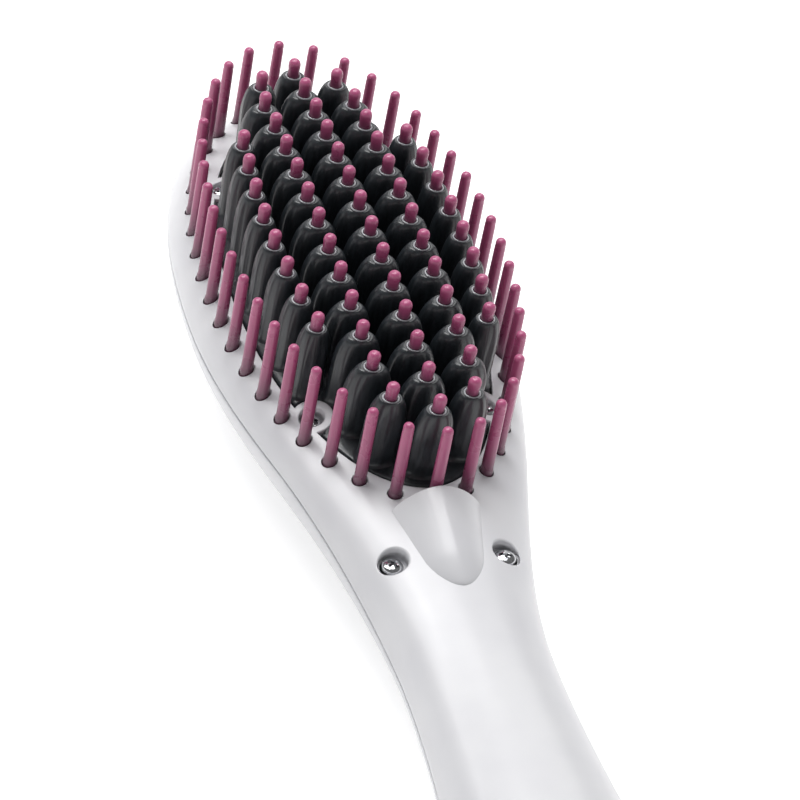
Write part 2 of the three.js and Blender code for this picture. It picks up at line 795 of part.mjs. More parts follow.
function controlBoard() {
  const bottom = boardTop - boardThickness;
  const board = block(at(-boardHalfWidth, boardTo, bottom), at(boardHalfWidth, boardFrom, boardTop));
  const boxes = [transformer, relay, terminals].map(({ x, fromEnd, height }) =>
    block(at(x[0], boardTo + fromEnd[0], bottom - height), at(x[1], boardTo + fromEnd[1], bottom + solder)),
  );
  const cans = [largeCan, smallCan].map(({ x, fromFront, radius, height }) =>
    post(x, boardFrom - fromFront, bottom - height, bottom + solder, radius),
  );
  const holes = [-boardScrewX, boardScrewX].map((x) =>
    post(x, boardScrewY, 0, tipTop, boardHole, boardHole, 8),
  );
  return union([board, ...boxes, ...cans]).subtract(union(holes));
}

// Swivel gland: a flange behind the bulkhead, a neck through the end wall and a collar outside

function cordGland() {
  const flangeFar = bulkheadFar + fit + glandFlangeThickness;
  const flangeNear = bulkheadFar + fit;
  const collarFar = -headToGripEnd - fit;
  const collarNear = collarFar - glandCollarLength;
  const profile = [
    [glandBore, flangeFar],
    [glandFlange, flangeFar],
    [glandFlange, flangeNear],
    [glandNeck, flangeNear],
    [glandNeck, collarFar],
    [glandCollar, collarFar],
    [glandCollar - glandCollarTaper, collarNear],
    [glandBore, collarNear],
    [glandBore, flangeFar],
  ];
  const points = profile.map(([radius, y]) => new THREE.Vector2(radius, y)).reverse();
  return solid(new THREE.LatheGeometry(points, 14).translate(0, 0, glandAxis));
}

function lead(points, radius) {
  const path = new THREE.CatmullRomCurve3(points.map(([x, y, z]) => at(x, y, z)));
  const section = new THREE.Shape().absarc(0, 0, radius, 0, 2 * Math.PI);
  const options = { steps: 2 * (points.length - 1), extrudePath: path, curveSegments: 3 };
  return solid(new THREE.ExtrudeGeometry(section, options));
}

// Finishes

function finish(color, roughness, metalness = 0) {
  return new THREE.MeshStandardMaterial({ color, roughness, metalness });
}
const pearlWhite = finish(0xe9e8ec, 0.3);
const charcoal = finish(0x2b2d31, 0.3, 0.2);
const rose = finish(0xb8547f, 0.4);
const steel = finish(0xb9bcc0, 0.25, 1);
const aluminium = finish(0xa8abb0, 0.4, 1);
const mica = finish(0xc9b98f, 0.7);
const boardGreen = finish(0x1f5a3c, 0.5);
const black = finish(0x18191b, 0.5);
const smoked = finish(0x0c0d10, 0.08);
const brass = finish(0xb5985a, 0.35, 1);
const redInsulation = finish(0x9a2f2c, 0.5);
const blueInsulation = finish(0x2d4c8c, 0.5);
const whiteInsulation = finish(0xd8d8d4, 0.5);

const brush = new THREE.Group();
const housing = new THREE.Group();
const head = new THREE.Group();
const grip = new THREE.Group();
brush.add(housing, head, grip);
brush.position.y = (headToGripEnd + fit + glandCollarLength - headToTip) / 2;

function add(group, name, body, material, x = 0, y = 0, z = 0) {
  const mesh = new THREE.Mesh(geometryOf(body), material);
  mesh.name = name;
  mesh.position.set(x, y, z);
  group.add(mesh);
  return mesh;
}

add(housing, "front_cover", frontCover(), pearlWhite);
add(housing, "rear_cover", rearCover(), pearlWhite);
const coverScrew = screw(coverScrewSize);
screwPlaces.forEach(({ x, y, floor }, i) => {
  add(housing, `cover_screw_${i + 1}`, coverScrew, steel, x, y, floor + screwSeat);
});

add(head, "heater_plate", heaterPlate(), charcoal);
for (const column of columns) {
  add(head, `tip_strip_${column.name}`, tipStrip(column), rose);
}
add(head, "bristle_ring", bristleRing(), rose);
const heaterTop = heaterSeat - fit;
for (const [name, side] of [["ptc_heater_far", 1], ["ptc_heater_near", -1]]) {
  const middle = fieldCentre + (side * (heaterLength + fit)) / 2;
  const body = block(
    at(-heaterWidth / 2, middle - heaterLength / 2, heaterTop - heaterThickness),
    at(heaterWidth / 2, middle + heaterLength / 2, heaterTop),
  );
  add(head, name, body, aluminium);
}
const insulator = block(
  at(-heaterWidth / 2, fieldCentre - heaterLength, insulatorTop - insulatorThickness),
  at(heaterWidth / 2, fieldCentre + heaterLength, insulatorTop),
);
add(head, "heater_insulator", insulator, mica);
add(head, "heater_clamp", heaterClamp(), steel);
const clampScrew = screw(clampScrewSize);
clampPlaces.forEach(({ x, y }, i) => {
  const mesh = add(head, `clamp_screw_${i + 1}`, clampScrew, steel, x, y, clampBottom - screwSeat);
  mesh.rotation.x = Math.PI;
});

const fuse = new THREE.CapsuleGeometry(fuseRadius, fuseLength, 3, 10);
fuse.translate(fuseX, fieldCentre + fuseFromCentre, clampBottom - fit - fuseRadius);
add(head, "thermal_fuse", solid(fuse), brass);
const sensor = new THREE.CapsuleGeometry(sensorRadius, sensorLength, 3, 10);
sensor.translate(sensorX, fieldCentre + sensorFromCentre, clampBottom - fit - sensorRadius);
add(head, "temperature_sensor", solid(sensor), black);

const moduleBase = ionModuleSeat + fit;
const moduleTop = moduleBase + ionModuleSize.z;
const ionModule = block(
  at(-ionModuleSize.x / 2, ionModuleY - ionModuleSize.y / 2, moduleBase),
  at(ionModuleSize.x / 2, ionModuleY + ionModuleSize.y / 2, moduleTop),
);
add(grip, "ion_module", ionModule, black);
const needleTop = faceHeight(0, needleY) + (hoodHeight - hoodWall) / 3;
const needle = pin(0, needleY, 8, [
  [moduleTop + screwSeat, needleRadius],
  [needleTop - needlePoint, needleRadius],
  [needleTop, needleRadius / 6],
]);
add(grip, "ion_needle", needle, brass);

add(grip, "control_board", controlBoard(), boardGreen);
const boardScrew = screw(boardScrewSize);
[-boardScrewX, boardScrewX].forEach((x, i) => {
  add(grip, `board_screw_${i + 1}`, boardScrew, steel, x, boardScrewY, boardTop + screwSeat);
});
add(grip, "display_module", displayModule(), black);
add(grip, "display_window", displayWindow(), smoked);
for (const { name, y, radius } of buttons) {
  add(grip, `${name}_button`, button(y, radius), rose);
  add(grip, `${name}_switch`, tactSwitch(y), black);
}
add(grip, "cord_gland", cordGland(), black);

// Leads run under the ring and over the ion module, and meet the board's front edge
const heaterEnd = fieldCentre - heaterLength - fit;
const clampEnd = fieldCentre - clampPostFromCentre - clampStrap;
const ringFoot = faceHeight(0, ringCentre - ringHalfLength) - carrierDepth - carrierHeight;
const underRing = ringFoot - heavyLead - leadGap;
const overModule = moduleTop + heavyLead + leadGap;
const pastRing = hoodMouth - heavyLead;
const moduleEnd = ionModuleY - ionModuleSize.y / 2;

for (const [name, side, colour] of [
  ["heater_lead_live", -1, redInsulation],
  ["heater_lead_neutral", 1, blueInsulation],
]) {
  const route = [
    [side * 10.5, heaterEnd - 1.4, heaterTop - heaterThickness / 2],
    [side * 9.5, clampEnd, underRing],
    [side * 4.5, pastRing, underRing - 0.2],
    [side * 4, moduleEnd, overModule + 0.5],
    [side * 4, boardFrom + 26, boardTop + 2.8],
    [side * 5, boardFrom + 6, boardTop + 1.8],
    [side * 5, boardFrom - 2, boardTop + fit + heavyLead],
  ];
  add(grip, name, lead(route, heavyLead), colour);
}
const sensorEnd = fieldCentre + sensorFromCentre - sensorLength / 2 - sensorRadius;
const sensorRoute = [
  [sensorX, sensorEnd - fit, clampBottom - fit - sensorRadius],
  [sensorX, clampEnd + 4, clampBottom - 2],
  [sensorX, pastRing, underRing],
  [sensorX, moduleEnd, overModule + 0.3],
  [1.5, boardFrom + 26, boardTop + 2.2],
  [1.5, boardFrom + 6, boardTop + 1.2],
  [1.5, boardFrom - 2, boardTop + fit + lightLead],
];
add(grip, "sensor_lead", lead(sensorRoute, lightLead), whiteInsulation);
const ionRoute = [
  [0, moduleEnd - fit, moduleBase + ionModuleSize.z / 2],
  [0, boardFrom + 34, boardTop - 2.8],
  [0, boardFrom + 16, boardTop - 2.8],
  [0, boardFrom + fit, boardTop - boardThickness / 2],
];
add(grip, "ion_lead", lead(ionRoute, lightLead), whiteInsulation);

export default brush;
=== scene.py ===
"""Looks of the hair straightening brush.

Lengths are in millimetres and measured along Y from the widest point of the head, as in the part's
source; place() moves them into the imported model's frame, in metres.
"""

import json

import bmesh
import bpy
import numpy as np
from mathutils import Matrix


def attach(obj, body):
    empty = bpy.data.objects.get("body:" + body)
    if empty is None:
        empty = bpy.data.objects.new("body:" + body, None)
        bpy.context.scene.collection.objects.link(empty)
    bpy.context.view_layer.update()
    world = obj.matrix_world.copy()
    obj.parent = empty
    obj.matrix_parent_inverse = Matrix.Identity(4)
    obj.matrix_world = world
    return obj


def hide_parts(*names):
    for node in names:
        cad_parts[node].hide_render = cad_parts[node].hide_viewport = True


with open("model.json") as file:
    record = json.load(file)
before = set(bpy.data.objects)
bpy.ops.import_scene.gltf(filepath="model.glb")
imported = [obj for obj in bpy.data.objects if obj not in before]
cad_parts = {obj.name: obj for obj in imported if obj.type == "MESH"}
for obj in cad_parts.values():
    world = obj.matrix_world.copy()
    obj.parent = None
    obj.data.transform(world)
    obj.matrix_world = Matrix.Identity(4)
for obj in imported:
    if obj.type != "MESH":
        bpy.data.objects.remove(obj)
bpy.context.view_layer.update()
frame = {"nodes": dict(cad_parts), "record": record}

# Body outline
HEAD_TO_TIP = 66.5
HEAD_TO_GRIP_END = 217.0
HEAD_HALF_WIDTH, NECK_HALF_WIDTH, GRIP_HALF_WIDTH = 30.1, 13.9, 18.6
HEAD_FACE, NECK_FACE, GRIP_FACE = 29.0, 20.9, 22.4
HEAD_PARTING, NECK_PARTING, GRIP_PARTING = 18.3, 13.0, 11.6
NECK_LIFT = 3.0
REST_CUT = 0.8
SIDE_RUN, FACE_RUN, GRIP_RUN = 94.0, 108.0, 76.0
PARTING_START, PARTING_RUN = 39.0, 50.0
END_ROUND = 16.0
CROWN_DROP = 5.7
PARTING_DROP = 3.1
FACE_POWER, BACK_POWER, GRIP_BACK_POWER = 2.2, 1.85, 2.8
OUTLINE_POWER, PROFILE_POWER = 2.1, 4.0
WALL = 2.2
REST_WALL = 1.4  # thickness of the rear cover over its two flat rests
FIT = 0.3
PLATE_GAP = 0.4

# Rounded edges of the openings
OPENING_LIP, RECESS_LIP, PIN_LIP = 0.3, 0.35, 0.12
LIP_REACH, LIP_RISE = 3.2, 0.75  # where a rounding's cutter starts, as shares of its radius

# Field of fins and tips
ROW_PITCH, COLUMN_PITCH = 7.8, 8.95
FIELD_CENTRE = -0.7
CENTRE_FINS, SIDE_FINS, OUTER_FINS = 14, 13, 8
OUTER_COLUMN = 18.1
OUTER_SAG = 2.0
SIDE_DRAW_IN = 1.4
WIDE_FIN, END_FIN, NARROW_FIN = 4.35, 3.6, 3.1
FIN_THICKNESS = 5.5
FIN_RIM = 1.65
FIN_SHOULDER = 6.0
FIN_LEAN = 0.002
TIP_TOP = 46.5
TIP_CROWN_ACROSS, TIP_CROWN_ALONG = 0.00654, 0.00128
TIP_RADIUS, TIP_HEAD = 1.13, 1.19
TIP_HEAD_LENGTH, TIP_HEAD_SPRING = 2.1, 0.5
TIP_PROUD = 3.5
WEB_HEIGHT, WEB_WIDTH = 1.2, 2.4

# Heated plate
PLATE_HALF_WIDTH, PLATE_HALF_LENGTH = 22.5, 53.6
PLATE_RECESS = 0.3
PLATE_FLANGE = 1.2
FLANGE_THICKNESS = 1.5
PLATE_NOTCH = 4.3

# Ring of bristle pins
RING_PINS = 40
RING_HALF_WIDTH, RING_HALF_LENGTH = 26.2, 58.9
RING_CENTRE = 1.7
RING_BELOW_TIPS = 1.7
PIN_FOOT, PIN_TIP = 1.13, 1.0
CARRIER_DEPTH, CARRIER_HEIGHT = 5.2, 1.6
CARRIER_IN, CARRIER_OUT = 1.6, 1.2

# Cover screws in their recesses
HEAD_SCREW_X, HEAD_SCREW_FROM_CENTRE = 16.45, 33.8
NECK_SCREW_X, NECK_SCREW_Y = 10.4, -69.3
HEAD_RECESS, NECK_RECESS = 2.3, 2.65
RECESS_DEPTH = 2.0
RECESS_ROUND = ((0.4, 0.0), (0.12, 0.15), (0.0, 0.5))  # the edge of a recess's floor, as (inwards, up)
RECESS_SIDES = 72
BOSS_WALL, BOSS_FLOOR = 1.15, 3.5
SCREW_HEAD, SCREW_HEAD_HEIGHT = 1.95, 1.35
SCREW_SHANK, SCREW_LENGTH = 1.3, 10.8
SCREW_SEAT = 0.05
SCREW_CORE = 0.75  # of the thread's radius
SCREW_EDGE = 0.55  # height of the head's upright edge
SCREW_TURNS = (24, 61, 8, 40, 33, 72)  # degrees by which the crosses are turned

# Ion outlet
HOOD_MOUTH = -58.9
HOOD_LENGTH = 18.6
HOOD_HALF_WIDTH, HOOD_HEIGHT = 8.25, 4.7
HOOD_NARROWING, HOOD_FALL = 0.23, 0.19  # per millimetre from the mouth
HOOD_FOOT = 6.5
HOOD_ARCH, HOOD_SPRING = 1.8, 1.25  # form of the arch across the mouth
HOOD_WALL = 1.3
HOOD_SKIRT = 0.8
HOOD_SIDES = 72
HOOD_END, HOLE_END = 0.9996, 0.9995  # shares of the length at which the hood and the hole under it end

# Display, buttons and cord gland
DISPLAY_Y = -148.0
DISPLAY_HALF_WIDTH, DISPLAY_HALF_LENGTH = 7.5, 10.0
DISPLAY_CORNER = 1.6
WINDOW_FLANGE, WINDOW_FLANGE_THICKNESS = 1.0, 1.0
WINDOW_CORNER = 2.2
LENS_RECESS = 0.2
LENS_DEPTH = 3.0
BUTTONS = {"plus": (-168.5, 3.8), "minus": (-179.5, 3.8), "power": (-192.0, 4.4)}
BUTTON_PROUD = 0.9
BUTTON_FLANGE, BUTTON_FLANGE_THICKNESS = 0.9, 1.0
BUTTON_EDGE, BUTTON_RIM, BUTTON_DISH = 0.5, 0.8, 0.28
BUTTON_STEM = 1.5
STEM_FOOT = 17.95
GLAND_BORE, GLAND_NECK, GLAND_FLANGE, GLAND_COLLAR = 3.4, 4.9, 6.4, 6.2
GLAND_COLLAR_LENGTH, GLAND_COLLAR_TAPER = 4.0, 0.8
GLAND_FLANGE_THICKNESS = 2.0
GLAND_SIDES, GLAND_HOLE_SIDES = 72, 64
GRIP_RINGS, GRIP_RING_DEPTH = 4, 0.18
BULKHEAD_FROM_END = 5.4

# Marks of a cover's faces: its own skin, and all that a cut lays bare
SKIN, CUT = 0, 1

# Points along a curve that is measured
FINE = 4001

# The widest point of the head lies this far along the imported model
MIDDLE = (HEAD_TO_GRIP_END + FIT + GLAND_COLLAR_LENGTH - HEAD_TO_TIP) / 2


def place(points):
    """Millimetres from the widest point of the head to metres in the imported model's frame."""
    return (np.asarray(points, float) + (0.0, MIDDLE, 0.0)) / 1000


# The body's form


def ease(share):
    return (1 + np.cos(np.pi * np.clip(share, 0, 1))) / 2


def along(y, head, neck, grip, run):
    return neck + (head - neck) * ease(-y / run) + (grip - neck) * (1 - ease((-y - run) / GRIP_RUN))


def parting_at(y):
    drop = PARTING_DROP * (np.maximum(y, 0) / HEAD_TO_TIP) ** 2
    return along(y + PARTING_START, HEAD_PARTING, NECK_PARTING, GRIP_PARTING, PARTING_RUN) - drop


def back_power_at(y):
    return along(y, BACK_POWER, BACK_POWER, GRIP_BACK_POWER, FACE_RUN)


def body_at(y, inset=0.0):
    """Half width, parting height, rise above it and drop below it."""
    y = np.asarray(y, float)
    tip = HEAD_TO_TIP - inset
    grip = HEAD_TO_GRIP_END - inset
    far = np.clip(y / tip, 0, 1)
    near = np.clip((END_ROUND - grip - y) / END_ROUND, 0, 1)

    def rounded(power):
        return ((1 - far**power) * (1 - near**power)) ** (1 / power)

    parting = parting_at(y)
    crown = CROWN_DROP * (np.maximum(y, 0) / HEAD_TO_TIP) ** 2
    face = along(y, HEAD_FACE, NECK_FACE, GRIP_FACE, FACE_RUN) - crown
    back = along(y, -REST_CUT, NECK_LIFT, -REST_CUT, FACE_RUN)
    side = along(y, HEAD_HALF_WIDTH, NECK_HALF_WIDTH, GRIP_HALF_WIDTH, SIDE_RUN)
    half_width = (side - inset) * rounded(OUTLINE_POWER)
    rise = (face - inset - parting) * rounded(PROFILE_POWER)
    drop = (parting - back - inset) * rounded(PROFILE_POWER)
    return half_width, parting, rise, drop


def face_height(x, y, inset=0.0):
    half_width, parting, rise, _ = body_at(y, inset)
    across = np.clip(np.abs(x) / np.maximum(half_width, 1e-6), 0, 1)
    return parting + rise * (1 - across**FACE_POWER) ** (1 / FACE_POWER)


def at_height(points, z):
    """Points given by x and y, at one height or at a height each."""
    return np.column_stack([points, np.broadcast_to(z, len(points))])


def below_face(points, depth):
    return at_height(points, face_height(points[:, 0], points[:, 1]) - depth)


def body_normal(points):
    """Directions square to the body's skin at points on it."""

    def level(x, y, z):
        half_width, parting, rise, drop = body_at(y)
        up = z > parting
        power = np.where(up, FACE_POWER, back_power_at(y))
        height = np.maximum(np.where(up, rise, drop), 1e-3)
        across = np.abs(x) / np.maximum(half_width, 1e-3)
        return across**power + (np.abs(z - parting) / height) ** power

    step = 0.02
    slope = np.empty_like(points)
    for axis, move in enumerate(np.eye(3) * step):
        slope[:, axis] = level(*(points + move).T) - level(*(points - move).T)
    return slope / np.maximum(np.linalg.norm(slope, axis=1, keepdims=True), 1e-12)


# Meshes


class Skin:
    """Points and faces gathered for one mesh. Each face has a mark, kept as its material's number."""

    def __init__(self):
        self.points, self.faces, self.marks = [], [], []
        self.count = 0

    def add(self, points, faces, mark=0):
        points = np.asarray(points, float).reshape(-1, 3)
        self.points.append(points)
        self.faces.extend(tuple(i + self.count for i in face) for face in faces)
        self.marks.extend([mark] * len(faces))
        self.count += len(points)

    def sheet(self, rows, mark=0, around=False):
        """Rows of points joined by quads, each row closed into a ring where it goes around."""
        rows = np.asarray(rows, float)
        count, width = rows.shape[:2]
        faces = []
        for r in range(count - 1):
            for i in range(width if around else width - 1):
                j = (i + 1) % width
                faces.append((r * width + i, r * width + j, (r + 1) * width + j, (r + 1) * width + i))
        self.add(rows, faces, mark)

    def tube(self, rows, mark=0):
        """A closed form over rings of points, with its ends closed by fans."""
        rows = np.asarray(rows, float)
        width = rows.shape[1]
        start = self.count
        self.sheet(rows, mark, around=True)
        for offset, ring in ((0, rows[0]), ((len(rows) - 1) * width, rows[-1])):
            centre = self.count
            self.add([ring.mean(axis=0)], [])
            for i in range(width):
                j = (i + 1) % width
                self.faces.append((start + offset + i, start + offset + j, centre))
                self.marks.append(mark)

    def mesh(self, name, merge=0.0):
        """The mesh. Points within merge millimetres of each other are joined, and slits left are filled."""
        mesh = bpy.data.meshes.new(name)
        mesh.from_pydata(place(np.concatenate(self.points)).tolist(), [], self.faces)
        mesh.polygons.foreach_set("material_index", self.marks)
        tidy = bmesh.new()
        tidy.from_mesh(mesh)
        if merge:
            bmesh.ops.remove_doubles(tidy, verts=tidy.verts, dist=merge / 1000)
            slits = [edge for edge in tidy.edges if edge.is_boundary]
            bmesh.ops.holes_fill(tidy, edges=slits)
        bmesh.ops.recalc_face_normals(tidy, faces=tidy.faces)
        tidy.to_mesh(mesh)
        tidy.free()
        return mesh


def shade(mesh, angle):
    """Smooth shading, broken where the surface turns by more than that many degrees."""
    mesh.polygons.foreach_set("use_smooth", [True] * len(mesh.polygons))
    mesh.set_sharp_from_angle(angle=np.radians(angle))


def linked(name, data):
    piece = bpy.data.objects.new(name, data)
    bpy.context.scene.collection.objects.link(piece)
    return piece


def show(name, mesh, material):
    piece = linked(name, mesh)
    mesh.materials.clear()
    mesh.materials.append(material)
    mesh.polygons.foreach_set("material_index", [0] * len(mesh.polygons))
    return piece


def carve(mesh, cutter):
    """The mesh less the cutter's volume."""
    target = linked("carve_target", mesh)
    tool = linked("carve_tool", cutter)
    modifier = target.modifiers.new("cut", "BOOLEAN")
    modifier.operation = "DIFFERENCE"
    modifier.solver = "MANIFOLD"
    modifier.material_mode = "INDEX"
    modifier.object = tool
    bpy.context.view_layer.update()
    depsgraph = bpy.context.evaluated_depsgraph_get()
    result = bpy.data.meshes.new_from_object(target.evaluated_get(depsgraph))
    for each in (target, tool):
        bpy.data.objects.remove(each)
    return result


def read(items, attribute, kind=np.int32, width=1):
    values = np.empty(len(items) * width, kind)
    items.foreach_get(attribute, values)
    return values


def points_of(mesh):
    """The mesh's points, in millimetres from the widest point of the head."""
    return read(mesh.vertices, "co", float, 3).reshape(-1, 3) * 1000 - (0.0, MIDDLE, 0.0)


def follow_body(mesh):
    """Gives the skin the exact normals of the body, so that cuts leave no flaws in the gloss."""
    end_margin = 0.6
    points = points_of(mesh)[read(mesh.loops, "vertex_index")]
    y = points[:, 1]
    inside = (y < HEAD_TO_TIP - end_margin) & (y > -HEAD_TO_GRIP_END + end_margin)
    marks = np.repeat(read(mesh.polygons, "material_index"), read(mesh.polygons, "loop_total"))
    chosen = inside & (marks == SKIN)
    normals = np.zeros_like(points)
    normals[chosen] = body_normal(points[chosen])
    mesh.normals_split_custom_set(normals.tolist())


def keep_rise(mesh, foot, length):
    """Keeps each point's height over its foot, as a share of that length, for the material's painted shade.
    """
    x, y, z = points_of(mesh).T
    rise = mesh.attributes.new("rise", "FLOAT", "POINT")
    rise.data.foreach_set("value", np.clip((z - foot(x, y)) / length, 0, 1).astype(np.float32))


# Places that repeat

screw_places = []
for x in (-HEAD_SCREW_X, HEAD_SCREW_X):
    for from_centre in (HEAD_SCREW_FROM_CENTRE, -HEAD_SCREW_FROM_CENTRE):
        screw_places.append((x, FIELD_CENTRE + from_centre, HEAD_RECESS))
for x in (-NECK_SCREW_X, NECK_SCREW_X):
    screw_places.append((x, NECK_SCREW_Y, NECK_RECESS))


def fin_columns():
    """The fins of each column, as x, y and half width."""
    columns = {}
    for name, count, side in (
        ("centre", CENTRE_FINS, 0),
        ("left", SIDE_FINS, -1),
        ("outer_left", OUTER_FINS, -2),
        ("right", SIDE_FINS, 1),
        ("outer_right", OUTER_FINS, 2),
    ):
        fins = []
        for i in range(count):
            row = (count - 1) / 2 - i
            end = i in (0, count - 1)
            if abs(side) == 2:
                x = np.sign(side) * (OUTER_COLUMN - OUTER_SAG * (2 * row / (count - 1)) ** 2)
                half_width = NARROW_FIN
            else:
                x = side * (COLUMN_PITCH - (SIDE_DRAW_IN if end else 0.0))
                half_width = END_FIN if end else WIDE_FIN
            fins.append((x, FIELD_CENTRE + row * ROW_PITCH, half_width))
        columns[name] = fins
    return columns


columns = fin_columns()
fin_places = [fin for fins in columns.values() for fin in fins]


def tip_height(x, y):
    return TIP_TOP - TIP_CROWN_ACROSS * x**2 - TIP_CROWN_ALONG * (y - FIELD_CENTRE) ** 2


def lean_at(y):
    return FIN_LEAN * (FIELD_CENTRE - y)


def plate_height(x, y):
    return face_height(x, y) - PLATE_RECESS


def ring_oval(angle, outwards=0.0):
    """Points along the oval of the ring pins, moved outwards."""
    cosine, sine = np.cos(angle), np.sin(angle)
    on = np.stack([RING_HALF_WIDTH * cosine, RING_CENTRE + RING_HALF_LENGTH * sine], axis=-1)
    out = np.stack([cosine / RING_HALF_WIDTH, sine / RING_HALF_LENGTH], axis=-1)
    return on + outwards * out / np.linalg.norm(out, axis=-1, keepdims=True)


def ring_pin_places():
    """Pins at equal steps along the oval, the first one at the tip."""
    angle = np.linspace(np.pi / 2, 2.5 * np.pi, FINE)
    points = ring_oval(angle)
    length = np.concatenate([[0], np.cumsum(np.linalg.norm(np.diff(points, axis=0), axis=1))])
    at = np.interp(np.arange(RING_PINS) * length[-1] / RING_PINS, length, angle)
    return ring_oval(at)


ring_places = ring_pin_places()


def circle(radius, sides, x=0.0, y=0.0):
    angle = np.arange(sides) * 2 * np.pi / sides
    return np.stack([x + radius * np.cos(angle), y + radius * np.sin(angle)], axis=1)


def notched_oval(grow, notch):
    """Outline of the heated plate with its notches round the head screws, from points in one quarter."""
    side_points, notch_points, end_points = 44, 40, 30
    a = PLATE_HALF_WIDTH + grow
    b = PLATE_HALF_LENGTH + grow
    t = np.linspace(0, np.pi / 2, FINE)
    gap = np.hypot(a * np.cos(t) - HEAD_SCREW_X, b * np.sin(t) - HEAD_SCREW_FROM_CENTRE)
    within = np.flatnonzero(gap < notch)
    first, last = t[within[0]], t[within[-1]]

    def rim(angle):
        return np.stack([a * np.cos(angle), b * np.sin(angle)], axis=1)

    def bearing(angle):
        return np.arctan2(b * np.sin(angle) - HEAD_SCREW_FROM_CENTRE, a * np.cos(angle) - HEAD_SCREW_X)

    start, end = bearing(first), bearing(last)
    if end > start:
        end -= 2 * np.pi
    turn = np.linspace(start, end, notch_points)[1:-1]
    arc = np.stack([np.cos(turn), np.sin(turn)], axis=1) * notch + (HEAD_SCREW_X, HEAD_SCREW_FROM_CENTRE)
    side = rim(np.linspace(0, first, side_points))
    quarter = np.concatenate([side, arc, rim(np.linspace(last, np.pi / 2, end_points))])
    left = (quarter * (-1, 1))[::-1][1:]
    half = np.concatenate([quarter, left])
    lower = (half * (1, -1))[::-1][1:-1]
    return np.concatenate([half, lower]) + (0, FIELD_CENTRE)


def well(skin, outline, levels):
    """A cutter sunk into the face. outline gives the points for an offset; levels hold offset and depth
    below the face, or offset, None and a flat height."""
    rows = [at_height(outline(levels[0][0]), TIP_TOP)]
    for offset, depth, *flat in levels:
        points = outline(offset)
        rows.append(at_height(points, flat[0]) if depth is None else below_face(points, depth))
    skin.tube(rows, CUT)


def lip(radius):
    """Levels of a rounded edge, from above the face down to the full depth of the rounding."""
    turns = np.radians((14, 32, 50, 70, 90))
    rounded = [(radius * (1 - np.sin(t)), radius * (1 - np.cos(t))) for t in turns]
    return [(radius * LIP_REACH, -radius * LIP_RISE)] + rounded


# Covers

FRONT_SIDES = 84
BACK_SIDES = 72
TIP_STATIONS, BODY_STATIONS, END_STATIONS = 90, 230, 28
EDGE = 0.3  # rounding of the covers along the part line
EDGE_STEPS = np.array([0.0, 0.04, 0.15, 0.35, 0.65, 1.0])
TONGUE = 0.9  # thickness of the rim outside the tongue and groove
TONGUE_HEIGHT = 1.5
TONGUE_PLAY = 0.1


def stations():
    """Shares of the way from the head to the tip, then of the way to the grip's end."""
    tip = np.sin(np.linspace(np.pi / 2, 0, TIP_STATIONS))
    run = HEAD_TO_GRIP_END - END_ROUND
    middle = np.linspace(0, run, BODY_STATIONS)[1:]
    end = run + END_ROUND * np.sin(np.linspace(0, np.pi / 2, END_STATIONS)[1:])
    return np.concatenate([tip, -np.concatenate([middle, end]) / HEAD_TO_GRIP_END])


def y_at(share, inset):
    return np.where(share > 0, share * (HEAD_TO_TIP - inset), share * (HEAD_TO_GRIP_END - inset))


